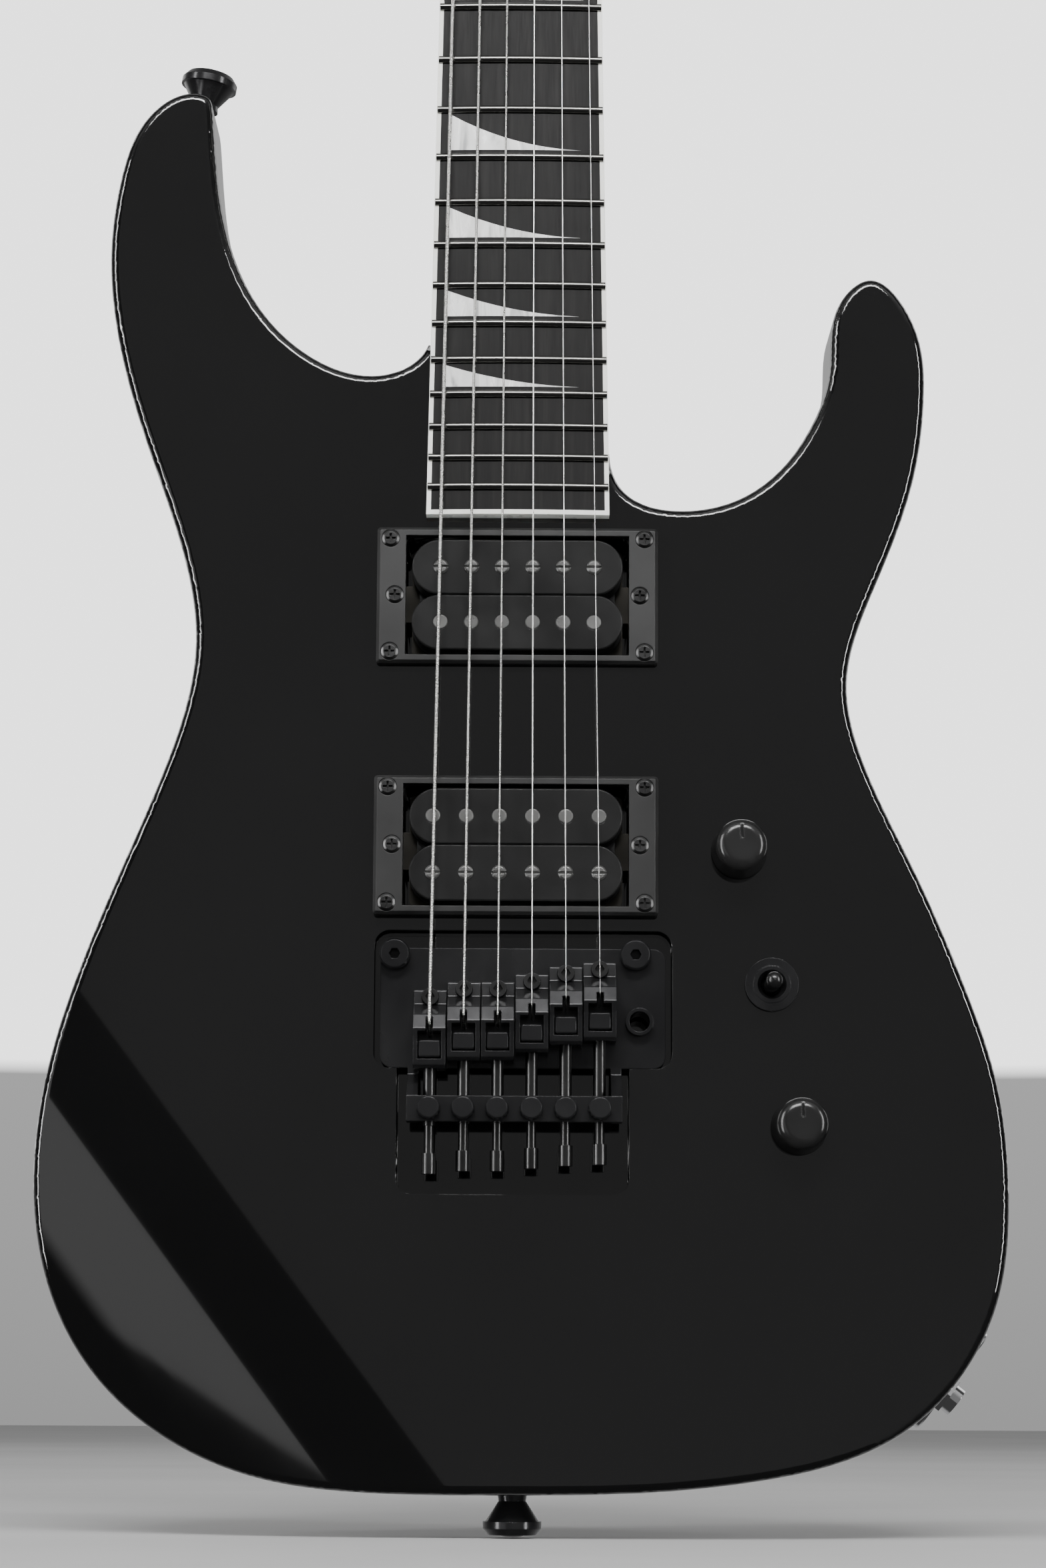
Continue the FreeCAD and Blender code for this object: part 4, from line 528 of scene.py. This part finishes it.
def softbox(name, at, toward, wide, tall, power):
    """A rectangular area light, sized in metres and powered in watts."""
    light = bpy.data.lights.new(name, "AREA")
    light.shape = "RECTANGLE"
    light.size = wide
    light.size_y = tall
    light.energy = power
    lamp = bpy.data.objects.new(name, light)
    bpy.context.scene.collection.objects.link(lamp)
    lamp.location = at
    lamp.rotation_mode = "QUATERNION"
    lamp.rotation_quaternion = (Vector(toward) - Vector(at)).to_track_quat("-Z", "Y")


softbox("left_strip", (-2.0, -1.15, 0.45), (0, 0, 0.25), 0.34, 2.4, 46)
softbox("right_strip", (2.0, -1.35, 0.55), (0, 0, 0.25), 0.26, 1.7, 32)
softbox("overhead", (0.0, -2.1, 1.85), (0, 0, 0.3), 1.7, 0.6, 80)
softbox("behind_left", (-1.9, 2.1, 1.3), (0, 0, 0.3), 1.6, 2.4, 12)
softbox("behind_right", (2.0, 2.0, 1.4), (0, 0, 0.3), 1.6, 2.4, 12)


# What the lacquer mirrors: an even front wall, a dark screen at the lower left with a pale card
# behind it, dark flanks and a bright wall at the back.

class Sky:
    """Grey levels set by direction, in the guitar's frame."""

    def __init__(self, world):
        world.use_nodes = True
        self.tree = world.node_tree
        self.direction = self.tree.nodes.new("ShaderNodeTexCoord").outputs["Generated"]

    def along(self, axis):
        """How far each direction points along an axis, from -1 to 1."""
        dot = self.tree.nodes.new("ShaderNodeVectorMath")
        dot.operation = "DOT_PRODUCT"
        dot.inputs[1].default_value = axis
        self.tree.links.new(self.direction, dot.inputs[0])
        return dot.outputs["Value"]

    def step(self, source, start, end, low, high):
        """A soft edge from low, where the source is at start, to high, where it is at end."""
        fade = self.tree.nodes.new("ShaderNodeMapRange")
        fade.interpolation_type = "SMOOTHSTEP"
        for name, value in (("From Min", start), ("From Max", end),
                            ("To Min", low), ("To Max", high)):
            fade.inputs[name].default_value = value
        self.tree.links.new(source, fade.inputs["Value"])
        return fade.outputs["Result"]

    def combine(self, operation, first, second):
        node = self.tree.nodes.new("ShaderNodeMath")
        node.operation = operation
        for socket, value in zip(node.inputs, (first, second)):
            if isinstance(value, (int, float)):
                socket.default_value = value
            else:
                self.tree.links.new(value, socket)
        return node.outputs["Value"]


FRONT_WALL = 0.17         # grey levels
CARD = 0.72
CEILING = 0.55
BACK_WALL = 0.42
BACK_LOW = 0.06
RIGHT_FLANK = 0.12        # a share of the front wall's

world = bpy.data.worlds.new("studio")
sky = Sky(world)
across = sky.along((0.814, 0, 0.581))
sideways = sky.along((1, 0, 0))
back = sky.along((0, 1, 0))
up = sky.along((0, 0, 1))
front_wall = sky.step(across, -0.047, -0.036, 0.0, FRONT_WALL)
card_right = sky.step(across, -0.374, -0.367, 1.0, 0.0)
card_left = sky.step(across, -0.68, -0.62, 0.0, CARD)
card_foot = sky.step(sky.along((-0.411, 0, 0.912)), -0.073, -0.064, 0.0, 1.0)
card = sky.combine("MULTIPLY", sky.combine("MULTIPLY", card_right, card_left), card_foot)
right_flank = sky.step(sideways, 0.35, 0.7, 1.0, RIGHT_FLANK)
ceiling = sky.step(up, 0.35, 0.8, 0.0, CEILING)
ahead = sky.combine("ADD", sky.combine("MULTIPLY", front_wall, right_flank),
                    sky.combine("ADD", card, ceiling))
is_ahead = sky.step(back, -0.3, -0.1, 1.0, 0.0)
behind = sky.step(back, 0.05, 0.6, BACK_LOW, BACK_WALL)
level = sky.combine("ADD", sky.combine("MULTIPLY", ahead, is_ahead), behind)
background = sky.tree.nodes["Background"]
background.inputs["Color"].default_value = (1, 1, 1, 1)
sky.tree.links.new(level, background.inputs["Strength"])
bpy.context.scene.world = world


def staged(name, bm, look):
    """A floor or wall: seen and shadowed, but kept out of the lacquer's reflections."""
    mesh = bpy.data.meshes.new(name)
    bm.to_mesh(mesh)
    bm.free()
    mesh.materials.append(look)
    piece = bpy.data.objects.new(name, mesh)
    bpy.context.scene.collection.objects.link(piece)
    piece.visible_glossy = False
    return piece


ROOM = 9.0                # radius, in metres
WALL_HEIGHT = 12
FLOOR = cad_low.z - 0.0005

bm = bmesh.new()
bmesh.ops.create_circle(bm, cap_ends=True, segments=96, radius=ROOM,
                        matrix=Matrix.Translation((0, 0, FLOOR)))
paint = Shader("floor_paint")
paint.color(paint.ramp(paint.noise(3, 5), (0.3, (0.46, 0.46, 0.46)), (0.7, (0.52, 0.52, 0.52))))
paint.roughness(paint.noise(30, 3), 0.6, 0.8)
staged("floor", bm, paint.material)

bm = bmesh.new()
bmesh.ops.create_cone(bm, cap_ends=False, segments=96, radius1=ROOM, radius2=ROOM,
                      depth=WALL_HEIGHT, matrix=Matrix.Translation((0, 0, FLOOR + WALL_HEIGHT / 2)))
bmesh.ops.reverse_faces(bm, faces=bm.faces)
wall = Shader("wall_paint").set(Emission_Strength=2.7, Roughness=1.0, Specular_IOR_Level=0.0)
height = wall.add("ShaderNodeSeparateXYZ")
wall.link(wall.place, height.inputs["Vector"])
dado = wall.ramp(wall.range(height.outputs["Z"], 0, 1), (0.0, (0.13, 0.13, 0.13)),
                 (0.93, (0.16, 0.16, 0.16)), (0.97, (0.9, 0.9, 0.9)))
wall.color(wall.ramp(wall.noise(0.6, 3), (0.4, (0.02, 0.02, 0.02)), (0.6, (0.04, 0.04, 0.04))))
wall.link(dado, wall.bsdf.inputs["Emission Color"])
backdrop = staged("wall", bm, wall.material)
backdrop.visible_diffuse = False
backdrop.visible_shadow = False
